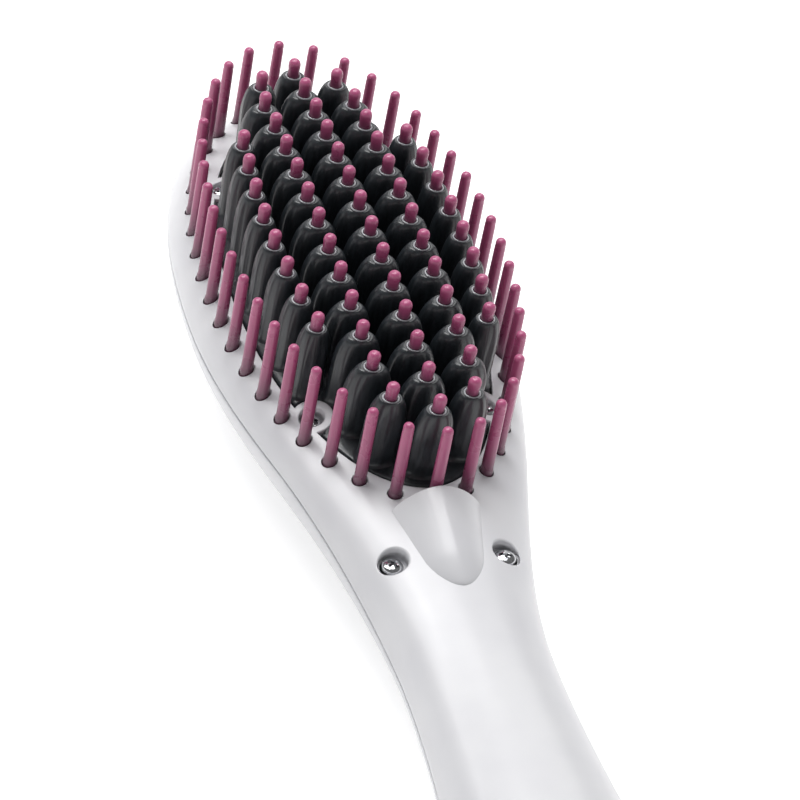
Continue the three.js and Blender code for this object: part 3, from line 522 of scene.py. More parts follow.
def cover_rows(side):
    """Rings of points round the wall of the front cover (side 1) or of the rear cover (side -1), and how
    many points of each ring lie on its outside."""
    share = stations()
    sides = FRONT_SIDES if side > 0 else BACK_SIDES

    def section(inset, lowest, steps):
        """Points from the right edge over the middle to the left one. The first of them lie at those
        steps over the lowest."""
        y = y_at(share, inset)
        half_width, parting, rise, drop = body_at(y, inset)
        height = np.maximum(rise if side > 0 else drop, 1e-4)
        power = np.full((len(y), 1), FACE_POWER) if side > 0 else back_power_at(y)[:, None]
        first = np.arcsin(np.clip((lowest + steps) / height[:, None], 0, 1) ** (power / 2))
        spread = np.linspace(0, 1, sides + 1)[1:-1]
        middle = first[:, -1:] + (np.pi - 2 * first[:, -1:]) * spread
        angle = np.concatenate([first, middle, np.pi - first[:, ::-1]], axis=1)
        cosine = np.cos(angle)
        x = half_width[:, None] * np.sign(cosine) * np.abs(cosine) ** (2 / power)
        lift = np.maximum(height[:, None] * np.sin(angle) ** (2 / power), lowest)
        z = parting[:, None] + side * lift
        return np.stack([x, np.repeat(y[:, None], angle.shape[1], axis=1), z], axis=2)

    gap = FIT / 2
    outside = section(0.0, gap, EDGE_STEPS * EDGE)
    # the rim's edge is drawn in along the outline's normal
    y = y_at(share, 0.0)
    width = body_at(y)[0]
    slope = np.stack([-np.gradient(y), np.gradient(width)], axis=1)
    slope /= np.maximum(np.linalg.norm(slope, axis=1, keepdims=True), 1e-9)
    draw = EDGE * (1 - np.sqrt(1 - (1 - EDGE_STEPS) ** 2))
    for k, amount in enumerate(draw):
        for column, sign in ((k, 1), (outside.shape[1] - 1 - k, -1)):
            outside[:, column, 0] -= sign * amount * slope[:, 0]
            outside[:, column, 1] -= amount * slope[:, 1]

    def line(inset, lift, sign):
        y_line = y_at(share, inset)
        half_width, parting, _, _ = body_at(y_line, inset)
        return np.stack([sign * half_width, y_line, parting + side * lift], axis=1)[:, None]

    if side > 0:
        joint = [(TONGUE, gap), (TONGUE, gap + TONGUE_HEIGHT)]
        inner_from = gap + TONGUE_HEIGHT
    else:
        tongue, tongue_top = TONGUE + TONGUE_PLAY, gap - TONGUE_HEIGHT - TONGUE_PLAY
        joint = [(tongue, gap), (tongue, tongue_top), (WALL, tongue_top)]
        inner_from = gap
    inside = section(WALL, inner_from, np.array([0.0]))[:, ::-1]
    left = [line(inset, lift, -1) for inset, lift in joint]
    right = [line(inset, lift, 1) for inset, lift in reversed(joint)]
    rows = np.concatenate([outside, *left, inside, *right], axis=1)
    if side < 0:
        on_outside = np.arange(rows.shape[1]) < outside.shape[1]
        rows[:, :, 2] = np.maximum(rows[:, :, 2], np.where(on_outside, 0.0, REST_WALL))
    return rows, outside.shape[1]


def gland_ring(radius, y, sides):
    """A ring round the cord gland's axis."""
    x, z = circle(radius, sides).T
    return np.stack([x, np.full(sides, y), GRIP_PARTING + z], axis=1)


def gland_cutter(skin):
    outer, inner = 5, 9
    ends = (-HEAD_TO_GRIP_END - outer, -HEAD_TO_GRIP_END + inner)
    skin.tube([gland_ring(GLAND_NECK + FIT, y, GLAND_HOLE_SIDES) for y in ends], CUT)


def cover_mesh(name, side, cutter):
    rows, outside = cover_rows(side)
    skin = Skin()
    skin.sheet(rows, CUT, around=True)
    marks = np.array(skin.marks).reshape(len(rows) - 1, -1)
    edge = len(EDGE_STEPS)
    marks[:, edge : outside - edge - 1] = SKIN
    skin.marks = marks.ravel().tolist()
    mesh = skin.mesh(name, merge=0.004)
    return carve(mesh, cutter.mesh(name + "_cutter"))


def rounded_box(half_width, half_length, corner, y):
    corner_steps = 10
    spacing = 0.8
    points = []
    for cx, cy, start in ((1, 1, 0), (-1, 1, 90), (-1, -1, 180), (1, -1, 270)):
        turn = np.radians(start + np.linspace(0, 90, corner_steps))
        x = cx * (half_width - corner) + corner * np.cos(turn)
        points.append(np.stack([x, y + cy * (half_length - corner) + corner * np.sin(turn)], axis=1))
    outline = np.concatenate(points)
    # more points along the straight sides, so that the edge follows the face
    filled = []
    for a, b in zip(outline, np.roll(outline, -1, axis=0)):
        count = max(1, int(np.ceil(np.linalg.norm(b - a) / spacing)))
        filled.extend(a + (b - a) * k / count for k in range(count))
    return np.array(filled)


def hood_at(back, thin):
    """Half width and height of the ion outlet at a distance back from its mouth."""
    turn = np.maximum(back - (HOOD_LENGTH - thin - HOOD_FOOT), 0) / HOOD_FOOT
    rounded = np.sqrt(np.maximum(1 - turn**2, 0))
    half_width = (HOOD_HALF_WIDTH - thin - HOOD_NARROWING * back) * rounded
    return half_width, (HOOD_HEIGHT - thin - HOOD_FALL * back) * rounded


def hood_outline(thin):
    steps = 60
    back = np.sin(np.linspace(0, np.pi / 2, steps)) * HOLE_END * (HOOD_LENGTH - thin)
    right = np.stack([hood_at(back, thin)[0], HOOD_MOUTH - back], axis=1)
    left = (right * (-1, 1))[::-1]
    return np.concatenate([right, left])


def front_cutter():
    """Everything cut out of the front cover."""
    cuts = Skin()
    pin_hole_sides, button_sides = 30, 96
    opening = PLATE_NOTCH - PLATE_GAP
    through = [(0, 3 * WALL)]
    well(cuts, lambda grow: notched_oval(PLATE_GAP + grow, opening - grow), lip(OPENING_LIP) + through)
    for x, y, radius in screw_places:
        floor = face_height(x, y) - RECESS_DEPTH
        levels = lip(RECESS_LIP) + [(-inwards, None, floor + up) for inwards, up in reversed(RECESS_ROUND)]
        well(cuts, lambda grow: circle(radius + grow, RECESS_SIDES, x, y), levels)
    for x, y in ring_places:
        well(cuts, lambda grow: circle(PIN_FOOT + FIT + grow, pin_hole_sides, x, y), lip(PIN_LIP) + through)
    for y, radius in BUTTONS.values():
        well(cuts, lambda grow: circle(radius + FIT + grow, button_sides, 0, y), lip(OPENING_LIP) + through)
    window = np.array((DISPLAY_HALF_WIDTH, DISPLAY_HALF_LENGTH, DISPLAY_CORNER)) + FIT
    well(cuts, lambda grow: rounded_box(*(window + grow), DISPLAY_Y), lip(OPENING_LIP) + through)
    well(cuts, lambda grow: hood_outline(HOOD_WALL) + (0, -0.2), [(0, -1)] + through)
    gland_cutter(cuts)
    return cuts


def hood_ring(thin, y):
    """A ring over the ion outlet at one place along it, with a skirt that runs into the cover."""
    half_width, height = hood_at(HOOD_MOUTH - y, thin)
    cosine = np.cos(np.linspace(0, np.pi, HOOD_SIDES + 1))
    arch = (1 - np.abs(cosine) ** HOOD_ARCH) ** (1 / HOOD_SPRING)
    across = np.stack([half_width * cosine, np.full_like(cosine, y)], axis=1)
    points = below_face(across, -height * arch)
    low = points[[0, -1]] - (0, 0, HOOD_SKIRT)
    return np.concatenate([low[:1], points, low[1:]])


def hood_sheet(skin):
    rim = [(0.0, 0.35), (0.03, 0.2), (0.1, 0.08), (0.25, 0.0), (0.6, 0.0)]
    rim += [(HOOD_WALL - 0.2, 0.0), (HOOD_WALL, 0.15)]
    back = np.sin(np.linspace(np.pi / 2, 0, 70)) * HOOD_END * HOOD_LENGTH
    outside = [hood_ring(0, HOOD_MOUTH - b) for b in back if b > rim[0][1]]
    turned = [hood_ring(thin, HOOD_MOUTH - b) for thin, b in rim]
    back = np.sin(np.linspace(0.03, np.pi / 2, 40)) * HOOD_END * (HOOD_LENGTH - HOOD_WALL)
    inside = [hood_ring(HOOD_WALL, HOOD_MOUTH - b) for b in back]
    rows = np.array(outside + turned + inside)
    skin.sheet(rows)
    # the wall is closed at its foot and under its skirts, inside the cover
    skin.sheet([rows[-1], rows[0]])
    for skirt in (rows[:, 0], rows[:, -1]):
        skin.add(skirt, [tuple(range(len(skirt)))])


# Looks: every material is built from noise in the object's own coordinates


def srgb(red, green, blue):
    values = np.array((red, green, blue)) / 255
    linear = np.where(values <= 0.04045, values / 12.92, ((values + 0.055) / 1.055) ** 2.4)
    return (*linear, 1.0)


def map_range(nodes, *limits):
    """A node that takes a value from between the first two limits to between the last two."""
    node = nodes.new("ShaderNodeMapRange")
    for socket, limit in zip(("From Min", "From Max", "To Min", "To Max"), limits):
        node.inputs[socket].default_value = limit
    return node


class Look:
    """A Principled material whose colour, roughness and bump come from procedural nodes."""

    def __init__(self, name, **sockets):
        self.material = bpy.data.materials.new(name)
        self.material.use_nodes = True
        self.nodes = self.material.node_tree.nodes
        self.links = self.material.node_tree.links
        self.shader = self.nodes["Principled BSDF"]
        for socket, value in sockets.items():
            self.shader.inputs[socket.replace("_", " ")].default_value = value
        self.coordinates = self.nodes.new("ShaderNodeTexCoord").outputs["Object"]
        self.bump = None

    def noise(self, grain, stretch=(1, 1, 1), detail=3.0, roughness=0.5):
        """Noise whose grains are about that many millimetres, stretched along the axes."""
        mapping = self.nodes.new("ShaderNodeMapping")
        mapping.inputs["Scale"].default_value = [1000 / (grain * s) for s in stretch]
        self.links.new(self.coordinates, mapping.inputs["Vector"])
        texture = self.nodes.new("ShaderNodeTexNoise")
        for socket, value in (("Scale", 1.0), ("Detail", detail), ("Roughness", roughness)):
            texture.inputs[socket].default_value = value
        self.links.new(mapping.outputs["Vector"], texture.inputs["Vector"])
        return texture.outputs["Fac"]

    def shades(self, value, stops):
        """Colours along a value, each stop as (position, colour)."""
        ramp = self.nodes.new("ShaderNodeValToRGB")
        elements = ramp.color_ramp.elements
        while len(elements) < len(stops):
            elements.new(0.5)
        for element, (position, _) in zip(elements, stops):
            element.position = position
        for element, (_, color) in zip(elements, stops):
            element.color = color
        self.links.new(value, ramp.inputs["Fac"])
        return ramp.outputs["Color"]

    def color(self, value, low, high, start=0.35, end=0.65):
        self.links.new(self.shades(value, ((start, low), (end, high))), self.shader.inputs["Base Color"])

    def roughen(self, value, low, high):
        spread = map_range(self.nodes, 0.3, 0.7, low, high)
        self.links.new(value, spread.inputs["Value"])
        self.links.new(spread.outputs["Result"], self.shader.inputs["Roughness"])

    def emboss(self, value, depth):
        """Bump of that many millimetres, on top of any before it."""
        bump = self.nodes.new("ShaderNodeBump")
        bump.inputs["Distance"].default_value = depth / 1000
        self.links.new(value, bump.inputs["Height"])
        if self.bump:
            self.links.new(self.bump, bump.inputs["Normal"])
        self.bump = bump.outputs["Normal"]
        self.links.new(self.bump, self.shader.inputs["Normal"])


def pearl_plastic():
    look = Look("pearl_plastic", Coat_Weight=0.35, Coat_Roughness=0.2, Specular_IOR_Level=0.6)
    look.color(look.noise(14, detail=2), srgb(225, 225, 229), srgb(231, 231, 234))
    look.roughen(look.noise(0.5, detail=2), 0.3, 0.38)
    look.emboss(look.noise(0.16, detail=1), 0.0016)
    return look.material


def coated_fins():
    look = Look("coated_fins", Coat_Weight=0.55, Coat_Roughness=0.15, Specular_IOR_Level=0.5)
    streaks = look.noise(0.7, stretch=(1, 1, 9), detail=3, roughness=0.6)
    look.color(streaks, srgb(22, 27, 31), srgb(42, 49, 55), 0.3, 0.7)
    look.roughen(streaks, 0.4, 0.54)
    look.emboss(streaks, 0.05)
    look.emboss(look.noise(0.2), 0.006)
    return look.material


# Light grey lip of a fin's bore: coating worn to bare metal, made lighter still as a painted highlight for
# its bright reflected ring
def worn_rim_and_highlight():
    look = Look("worn_rim_and_highlight", Coat_Weight=0.6, Coat_Roughness=0.1, Specular_IOR_Level=0.8)
    look.color(look.noise(0.9), srgb(158, 160, 165), srgb(190, 192, 197))
    look.roughen(look.noise(0.4), 0.18, 0.28)
    look.emboss(look.noise(0.2), 0.003)
    return look.material


def rose_plastic():
    """Mauve nylon, with painted shade that makes it plum-grey and darker towards the foot of a pin."""
    look = Look("rose_plastic", Specular_IOR_Level=0.7)
    rise = look.nodes.new("ShaderNodeAttribute")
    rise.attribute_name = "rise"
    # painted shade: the colour darkens by height from a pin's top down to its foot
    stops = [(0.0, srgb(84, 44, 64)), (0.1, srgb(126, 68, 96))]
    stops += [(0.45, srgb(178, 86, 128)), (1.0, srgb(198, 98, 142))]
    ramp = look.shades(rise.outputs["Fac"], stops)
    pale, full = srgb(248, 248, 248), srgb(255, 255, 255)
    mottle = look.shades(look.noise(2.4, (1, 1, 2)), ((0.35, pale), (0.65, full)))
    tint = look.nodes.new("ShaderNodeMix")
    tint.data_type = "RGBA"
    tint.blend_type = "MULTIPLY"
    tint.inputs["Factor"].default_value = 1.0
    look.links.new(ramp, tint.inputs["A"])
    look.links.new(mottle, tint.inputs["B"])
    look.links.new(tint.outputs["Result"], look.shader.inputs["Base Color"])
    look.roughen(look.noise(3), 0.26, 0.31)
    look.emboss(look.noise(0.3, detail=1), 0.0005)
    return look.material


def metal(name, low, high, roughness, grain, stretch=(1, 1, 1)):
    look = Look(name, Metallic=1.0)
    marks = look.noise(grain, stretch)
    look.color(marks, srgb(*low), srgb(*high))
    look.roughen(marks, roughness, roughness + 0.12)
    look.emboss(marks, 0.002)
    return look.material


def plastic(name, low, high, roughness, grain=0.4, depth=0.004, **sockets):
    look = Look(name, **sockets)
    look.color(look.noise(grain * 6), srgb(*low), srgb(*high))
    look.roughen(look.noise(grain), roughness, roughness + 0.1)
    look.emboss(look.noise(grain), depth)
    return look.material


POLISHED = {"Coat_Weight": 1.0, "Coat_Roughness": 0.02}


def circuit_board():
    look = Look("circuit_board", Coat_Weight=0.4, Coat_Roughness=0.15)
    tracks = look.noise(2.2, stretch=(1, 4, 1), detail=0)
    look.color(tracks, srgb(20, 72, 46), srgb(34, 104, 66), 0.48, 0.5)
    look.roughen(look.noise(0.3), 0.35, 0.5)
    look.emboss(tracks, 0.03)
    return look.material


looks = {
    "pearl_plastic": pearl_plastic(),
    "coated_fins": coated_fins(),
    "worn_rim_and_highlight": worn_rim_and_highlight(),
    "rose_plastic": rose_plastic(),
    "circuit_board": circuit_board(),
    "smoked_lens": plastic("smoked_lens", (9, 10, 12), (14, 15, 18), 0.05, 3.0, 0.001, **POLISHED),
}
for name, *values in (
    ("screw_steel", (196, 197, 200), (226, 227, 230), 0.06, 0.3),
    ("clamp_steel", (150, 153, 157), (186, 188, 192), 0.28, 0.5, (8, 1, 1)),
    ("heater_aluminium", (168, 171, 176), (196, 198, 202), 0.34, 0.4, (1, 10, 1)),
    ("brass", (178, 148, 86), (204, 174, 108), 0.26, 0.6),
):
    looks[name] = metal(name, *values)
for name, *values in (
    ("mica", (176, 160, 118), (208, 194, 152), 0.45, 1.2, 0.03),
    ("black_plastic", (22, 23, 25), (30, 31, 33), 0.38),
    ("red_insulation", (142, 42, 40), (164, 54, 50), 0.4),
    ("blue_insulation", (40, 70, 132), (52, 86, 152), 0.4),
    ("white_insulation", (206, 206, 202), (220, 220, 216), 0.4),
):
    looks[name] = plastic(name, *values)

for subpart in frame["record"]["subparts"]:
    node = frame["nodes"][subpart["node"]]
    node.data.materials.clear()
    node.data.materials.append(looks[subpart["material_slot"]])


def dress(name, mesh, slot, body, *nodes):
    """Shows a mesh on a body, in place of CAD nodes where it names some."""
    piece = show(name, mesh, looks[slot])
    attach(piece, body)
    if nodes:
        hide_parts(*nodes)


# Front and rear covers

front = cover_mesh("front_shell", 1, front_cutter())
shade(front, 40)
follow_body(front)
dress("front_shell", front, "pearl_plastic", "housing", "front_cover")

hood = Skin()
hood_sheet(hood)
hood_mesh = hood.mesh("ion_hood", merge=0.002)
shade(hood_mesh, 50)
dress("ion_hood", hood_mesh, "pearl_plastic", "housing")


def screw_wells():
    """Walls and floors of the screw recesses, inside the front cover."""
    wells = Skin()
    for x, y, radius in screw_places:
        floor = face_height(x, y) - RECESS_DEPTH
        profile = [(SCREW_SHANK, floor)]
        profile += [(radius - inwards, floor + up) for inwards, up in RECESS_ROUND]
        profile += [(radius, None), (radius + BOSS_WALL, None), (radius + BOSS_WALL, floor - BOSS_FLOOR)]
        profile += [(SCREW_SHANK, floor - BOSS_FLOOR)]
        rows = []
        for reach, z in profile:
            points = circle(reach, RECESS_SIDES, x, y)
            rows.append(below_face(points, WALL / 2) if z is None else at_height(points, z))
        wells.sheet(rows + rows[:1], around=True)
    return wells


wells_mesh = screw_wells().mesh("screw_wells", merge=0.001)
shade(wells_mesh, 50)
dress("screw_wells", wells_mesh, "pearl_plastic", "housing")

rear_cuts = Skin()
gland_cutter(rear_cuts)
rear = cover_mesh("rear_shell", -1, rear_cuts)
shade(rear, 40)
dress("rear_shell", rear, "pearl_plastic", "housing", "rear_cover")

# Heated plate and its fins

FIN_SIDES = 44
FIN_BORE = TIP_RADIUS + 0.07
FIN_LIP = 1.6
FLUTES, FLUTE = 10, 0.048  # their number, and their depth as a share of the fin's size


def squarish(across, through, power=2.3):
    """Points of a fin's section, and their angles."""
    angle = np.arange(FIN_SIDES) * 2 * np.pi / FIN_SIDES
    cosine, sine = np.cos(angle), np.sin(angle)
    x = across * np.sign(cosine) * np.abs(cosine) ** (2 / power)
    y = through * np.sign(sine) * np.abs(sine) ** (2 / power)
    return np.stack([x, y], axis=1), angle


def fin_rows(x, y, half_width):
    top = tip_height(x, y)
    rim = top - TIP_PROUD
    lean = lean_at(y)
    half_thickness = FIN_THICKNESS / 2
    rows = []

    def ring(z, across, through, flute, power=2.3):
        points, angle = squarish(across, through, power)
        points = points * (1 - flute * (0.5 + 0.5 * np.cos(FLUTES * angle)))[:, None]
        height = np.broadcast_to(z, FIN_SIDES)
        rows.append(np.column_stack([x + points[:, 0], y + points[:, 1] + (top - height) * lean, height]))

    # the bore, the shoulder, the flanks and the foot's fillet
    for drop, radius in ((2.4, FIN_BORE), (0.5, FIN_BORE), (0.22, FIN_RIM - 0.2), (0.12, FIN_RIM - 0.05)):
        ring(rim - drop, radius, radius, 0, 2)
    for share in np.linspace(0.1, 1, 15) ** 1.7:
        bulge = np.sqrt(1 - (1 - share) ** 2)
        across = FIN_RIM + (half_width - FIN_RIM) * bulge
        through = FIN_RIM + (half_thickness - FIN_RIM) * bulge
        ring(rim - share * FIN_SHOULDER, across, through, FLUTE * share, 2 + 0.3 * share)
    foot = plate_height(x, y)
    for share in np.linspace(0, 1, 6)[1:]:
        z = (rim - FIN_SHOULDER) * (1 - share) + (foot + 1.0) * share
        ring(z, half_width, half_thickness, FLUTE)
    fillet = ((0.55, 0.06, 0.02), (0.3, 0.18, 0.01), (0.1, 0.4, 0), (-0.03, 0.62, 0), (-0.4, 0.64, 0))
    for lift, grow, flute in fillet:
        points, _ = squarish(half_width + grow, half_thickness + grow)
        z = plate_height(x + points[:, 0], y + points[:, 1] + (top - foot) * lean) + lift
        ring(z, half_width + grow, half_thickness + grow, flute)
    return rows


def rim_rows(x, y):
    """The rounded lip of a fin's bore."""
    top = tip_height(x, y)
    middle, half = (FIN_LIP + FIN_BORE) / 2, (FIN_LIP - FIN_BORE) / 2
    rows = []
    for turn in np.linspace(0, 2 * np.pi, 17)[:-1]:
        z = top - TIP_PROUD - half * (1 - np.cos(turn))
        points = circle(middle - half * np.sin(turn), FIN_SIDES, x, y + (top - z) * lean_at(y))
        rows.append(at_height(points, z))
    return rows


plate = Skin()
outline = notched_oval(0.0, PLATE_NOTCH)
middle = np.array((0.0, FIELD_CENTRE))
angle = np.linspace(0, 2 * np.pi, 73)
flange_x = (PLATE_HALF_WIDTH + PLATE_FLANGE) * np.cos(angle)
flange_y = FIELD_CENTRE + (PLATE_HALF_LENGTH + PLATE_FLANGE) * np.sin(angle)
flange_top = face_height(flange_x, flange_y, WALL).min() - PLATE_GAP
heater_seat = flange_top - FLANGE_THICKNESS
rows = []
flange = notched_oval(PLATE_FLANGE, PLATE_NOTCH - PLATE_GAP)
for points, z in ((flange, heater_seat), (flange, flange_top), (outline, flange_top)):
    rows.append(at_height(points, z))
for grow, depth in ((0.0, 0.4), (-0.06, 0.16), (-0.22, 0.03), (-0.5, 0.0)):
    edge = notched_oval(grow, PLATE_NOTCH - grow)
    rows.append(below_face(edge, PLATE_RECESS + depth))
for share in np.linspace(1, 0.04, 30)[1:]:
    rows.append(below_face(middle + (edge - middle) * share, PLATE_RECESS))
plate.tube(rows)
rims = Skin()
for x, y, half_width in fin_places:
    plate.tube(fin_rows(x, y, half_width))
    rows = rim_rows(x, y)
    rims.sheet(rows + rows[:1], around=True)
plate_mesh = plate.mesh("heated_plate")
shade(plate_mesh, 38)
dress("heated_plate", plate_mesh, "coated_fins", "housing", "heater_plate")
# the fins' lips, whose light grey is worn bare metal and partly a painted highlight
rims_mesh = rims.mesh("fin_rims", merge=0.001)
shade(rims_mesh, 60)
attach(show("fin_rims", rims_mesh, looks["worn_rim_and_highlight"]), "housing")

# Cool tips on the strips that join them


def round_rows(x, y, levels, sides, lean=0.0, top=0.0):
    """Rings round a point, for levels of height and radius, leaning from below the top."""
    rows = []
    for z, radius in levels:
        points = circle(radius, sides, x, y + (top - z) * lean)
        rows.append(at_height(points, z))
    return rows


def dome(top, radius, height, steps=9):
    """Levels of a rounded end, from its lowest ring to almost the top."""
    turns = np.linspace(0, 0.985, steps) * np.pi / 2
    return [(top - height * (1 - np.sin(t)), radius * np.cos(t) ** 0.8) for t in turns]


def along_head(share):
    """Radius of a tip where it widens into its bead."""
    return TIP_RADIUS + (TIP_HEAD - TIP_RADIUS) * (3 - 2 * share) * share**2


web_bottom = heater_seat + FIT
for column, fins in columns.items():
    strip = Skin()
    for x, y, _ in fins:
        top = tip_height(x, y)
        neck_end = top - TIP_HEAD_LENGTH
        levels = [(web_bottom, TIP_RADIUS), (top - 4, TIP_RADIUS), (neck_end, TIP_RADIUS)]
        for share in (0.25, 0.5, 0.75, 1):
            levels.append((neck_end + TIP_HEAD_SPRING * share, along_head(share)))
        levels += dome(top, TIP_HEAD, 1.15)
        strip.tube(round_rows(x, y, levels, 28, lean_at(y), top))
    centres = np.array(fins)[:, :2]
    left, near = centres.min(axis=0) - WEB_WIDTH / 2
    right, far = centres.max(axis=0) + WEB_WIDTH / 2
    corners = np.array(((left, near), (right, near), (right, far), (left, far)))
    strip.tube([at_height(corners, z) for z in (web_bottom, web_bottom + WEB_HEIGHT)])
    strip_mesh = strip.mesh(f"tips_{column}")
    shade(strip_mesh, 50)
    # the rose material paints shade towards each tip's foot by this height
    keep_rise(strip_mesh, lambda x, y: tip_height(x, y) - TIP_PROUD, TIP_PROUD)
    dress(f"tips_{column}", strip_mesh, "rose_plastic", "housing", f"tip_strip_{column}")

# Bristle pins and the ring that carries them

pins = Skin()
for x, y in ring_places:
    face = face_height(x, y)
    top = tip_height(x, y) - RING_BELOW_TIPS
    levels = [
        (face - CARRIER_DEPTH - CARRIER_HEIGHT / 2, PIN_FOOT),
        (face - 0.5, PIN_FOOT + 0.11),
        (face + 0.25, PIN_FOOT + 0.11),
        (face + 0.4, PIN_FOOT + 0.07),
        (face + 0.6, PIN_FOOT + 0.02),
        (face + 1.2, PIN_FOOT),
        (top - 1.75, PIN_TIP + 0.02),
        (top - 1.5, PIN_TIP - 0.04),
        (top - 1.25, PIN_TIP),
    ]
    pins.tube(round_rows(x, y, levels + dome(top, PIN_TIP, 0.95), 30))
angle = np.linspace(0, 2 * np.pi, 145)[:-1]
base = ring_oval(angle)
band_top = face_height(base[:, 0], base[:, 1]) - CARRIER_DEPTH
corners = ((-CARRIER_IN, CARRIER_HEIGHT), (CARRIER_OUT, CARRIER_HEIGHT), (CARRIER_OUT, 0), (-CARRIER_IN, 0))
rows = [at_height(ring_oval(angle, reach), band_top - drop) for reach, drop in corners]
pins.sheet(rows + rows[:1], around=True)
pins_mesh = pins.mesh("pin_ring", merge=0.001)
shade(pins_mesh, 40)
# the rose material paints shade towards each pin's foot by this height
keep_rise(pins_mesh, face_height, 15.0)
dress("pin_ring", pins_mesh, "rose_plastic", "housing", "bristle_ring")

# Cover screws


def screw_mesh():
    shift = (0.0, -MIDDLE, 0.0)  # an object that is placed has its mesh at the origin
    core = SCREW_SHANK * SCREW_CORE
    levels = [(-SCREW_LENGTH, SCREW_SHANK * 0.4), (-SCREW_LENGTH + 1, core), (-0.01, core)]
    levels += [(0.0, SCREW_HEAD - 0.1), (0.1, SCREW_HEAD), (SCREW_EDGE, SCREW_HEAD)]
    crown = SCREW_HEAD_HEIGHT - SCREW_EDGE
    for turn in np.linspace(0, 0.97, 12) * np.pi / 2:
        levels.append((SCREW_EDGE + crown * np.sin(turn), SCREW_HEAD * np.cos(turn)))
    body = Skin()
    body.tube(np.array(round_rows(0, 0, levels, 64)) + shift)
    arm, width = SCREW_HEAD * 0.6, SCREW_HEAD * 0.15
    corners = np.array(((arm, -width), (arm, width), (width, width)))
    cross = []
    for _ in range(4):
        cross.extend(corners)
        corners = np.stack([-corners[:, 1], corners[:, 0]], axis=1)
    cross = np.array(cross)
    levels = ((0.6, 1.2), (-0.3, 0.95), (-1.15, 0.42))  # from the head's top, and the cross's scale there
    cutter = Skin()
    cutter.tube(np.array([at_height(cross * scale, SCREW_HEAD_HEIGHT + z) for z, scale in levels]) + shift)
    mesh = carve(body.mesh("cover_screw"), cutter.mesh("cross"))
    shade(mesh, 35)
    return mesh


screw = screw_mesh()
for number, ((x, y, _), turn) in enumerate(zip(screw_places, SCREW_TURNS), 1):
    piece = show(f"cross_screw_{number}", screw, looks["screw_steel"])
    piece.location = place((x, y, face_height(x, y) - RECESS_DEPTH + SCREW_SEAT))
    piece.rotation_euler[2] = np.radians(turn)
    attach(piece, "housing")
    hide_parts(f"cover_screw_{number}")

# Display lens

lens = Skin()
corner_x, corner_y = DISPLAY_HALF_WIDTH + WINDOW_FLANGE, DISPLAY_HALF_LENGTH + WINDOW_FLANGE
lowest = min(face_height(corner_x, DISPLAY_Y + end * corner_y, WALL) for end in (-1, 1))
window_seat = lowest - FIT - WINDOW_FLANGE_THICKNESS
flange = rounded_box(corner_x, corner_y, WINDOW_CORNER, DISPLAY_Y)
flange_heights = (window_seat, window_seat + WINDOW_FLANGE_THICKNESS)
lens.tube([at_height(flange, z) for z in flange_heights])
outline = rounded_box(DISPLAY_HALF_WIDTH, DISPLAY_HALF_LENGTH, DISPLAY_CORNER, DISPLAY_Y)
centre = np.array((0.0, DISPLAY_Y))
rows = []
edge_levels = ((0.0, 0.35), (0.08, 0.1), (0.3, 0.0))  # inwards, and below the lens
for inwards, depth in ((0.0, LENS_DEPTH - LENS_RECESS), *edge_levels):
    last = outline + (centre - outline) * inwards / DISPLAY_HALF_WIDTH
    rows.append(below_face(last, LENS_RECESS + depth))
for share in np.linspace(1, 0.03, 14)[1:]:
    rows.append(below_face(centre + (last - centre) * share, LENS_RECESS))
lens.tube(rows)
lens_mesh = lens.mesh("display_lens")
shade(lens_mesh, 40)
dress("display_lens", lens_mesh, "smoked_lens", "housing", "display_window")

# Buttons with a shallow dish on top


def button_mesh(name, y, radius):
    top = float(face_height(0.0, y)) + BUTTON_PROUD
    ledge = float(face_height(radius + BUTTON_FLANGE, y, WALL)) - FIT
    under = ledge - BUTTON_FLANGE_THICKNESS
    edge = top - BUTTON_EDGE
    levels = [(STEM_FOOT, BUTTON_STEM), (under, BUTTON_STEM), (under, radius + BUTTON_FLANGE)]
    levels += [(ledge, radius + BUTTON_FLANGE), (ledge, radius), (edge, radius)]
    for turn in np.linspace(0.2, np.pi / 2, 7):
        levels.append((edge + BUTTON_EDGE * np.sin(turn), radius - BUTTON_EDGE * (1 - np.cos(turn))))
    for share in np.linspace(1, 0.03, 14):
        levels.append((top - BUTTON_DISH * (1 - share**2), (radius - BUTTON_RIM) * share))
    skin = Skin()
    skin.tube(round_rows(0, y, levels, 96))
    mesh = skin.mesh(name)
    shade(mesh, 40)
    # a button has the colour of a pin's end all over
    keep_rise(mesh, lambda x, y: np.zeros_like(x), 1.0)
    return mesh


for button, (y, radius) in BUTTONS.items():
    name = f"{button}_button"
    dress(f"{button}_cap", button_mesh(f"{button}_cap", y, radius), "rose_plastic", name, name)

# Cord gland, with grip rings on its collar

far = -HEAD_TO_GRIP_END + WALL + BULKHEAD_FROM_END + FIT
collar = -HEAD_TO_GRIP_END - FIT
end = collar - GLAND_COLLAR_LENGTH
end_radius = GLAND_COLLAR - GLAND_COLLAR_TAPER
flange_end = far + GLAND_FLANGE_THICKNESS
profile = [(GLAND_BORE, flange_end), (GLAND_FLANGE, flange_end), (GLAND_FLANGE, far), (GLAND_NECK, far)]
profile += [(GLAND_NECK, collar), (GLAND_COLLAR - 0.2, collar), (GLAND_COLLAR, collar - 0.2)]
for share in np.linspace(0.1, 0.9, 33):
    dip = GRIP_RING_DEPTH * (0.5 - 0.5 * np.cos(share * GRIP_RINGS * 2 * np.pi))
    profile.append((GLAND_COLLAR - GLAND_COLLAR_TAPER * share - dip, collar - GLAND_COLLAR_LENGTH * share))
profile += [(end_radius, end + 0.25), (end_radius - 0.25, end)]
profile += [(GLAND_BORE + 0.3, end), (GLAND_BORE, end + 0.3)]
gland = Skin()
rows = [gland_ring(radius, y, GLAND_SIDES) for radius, y in profile]
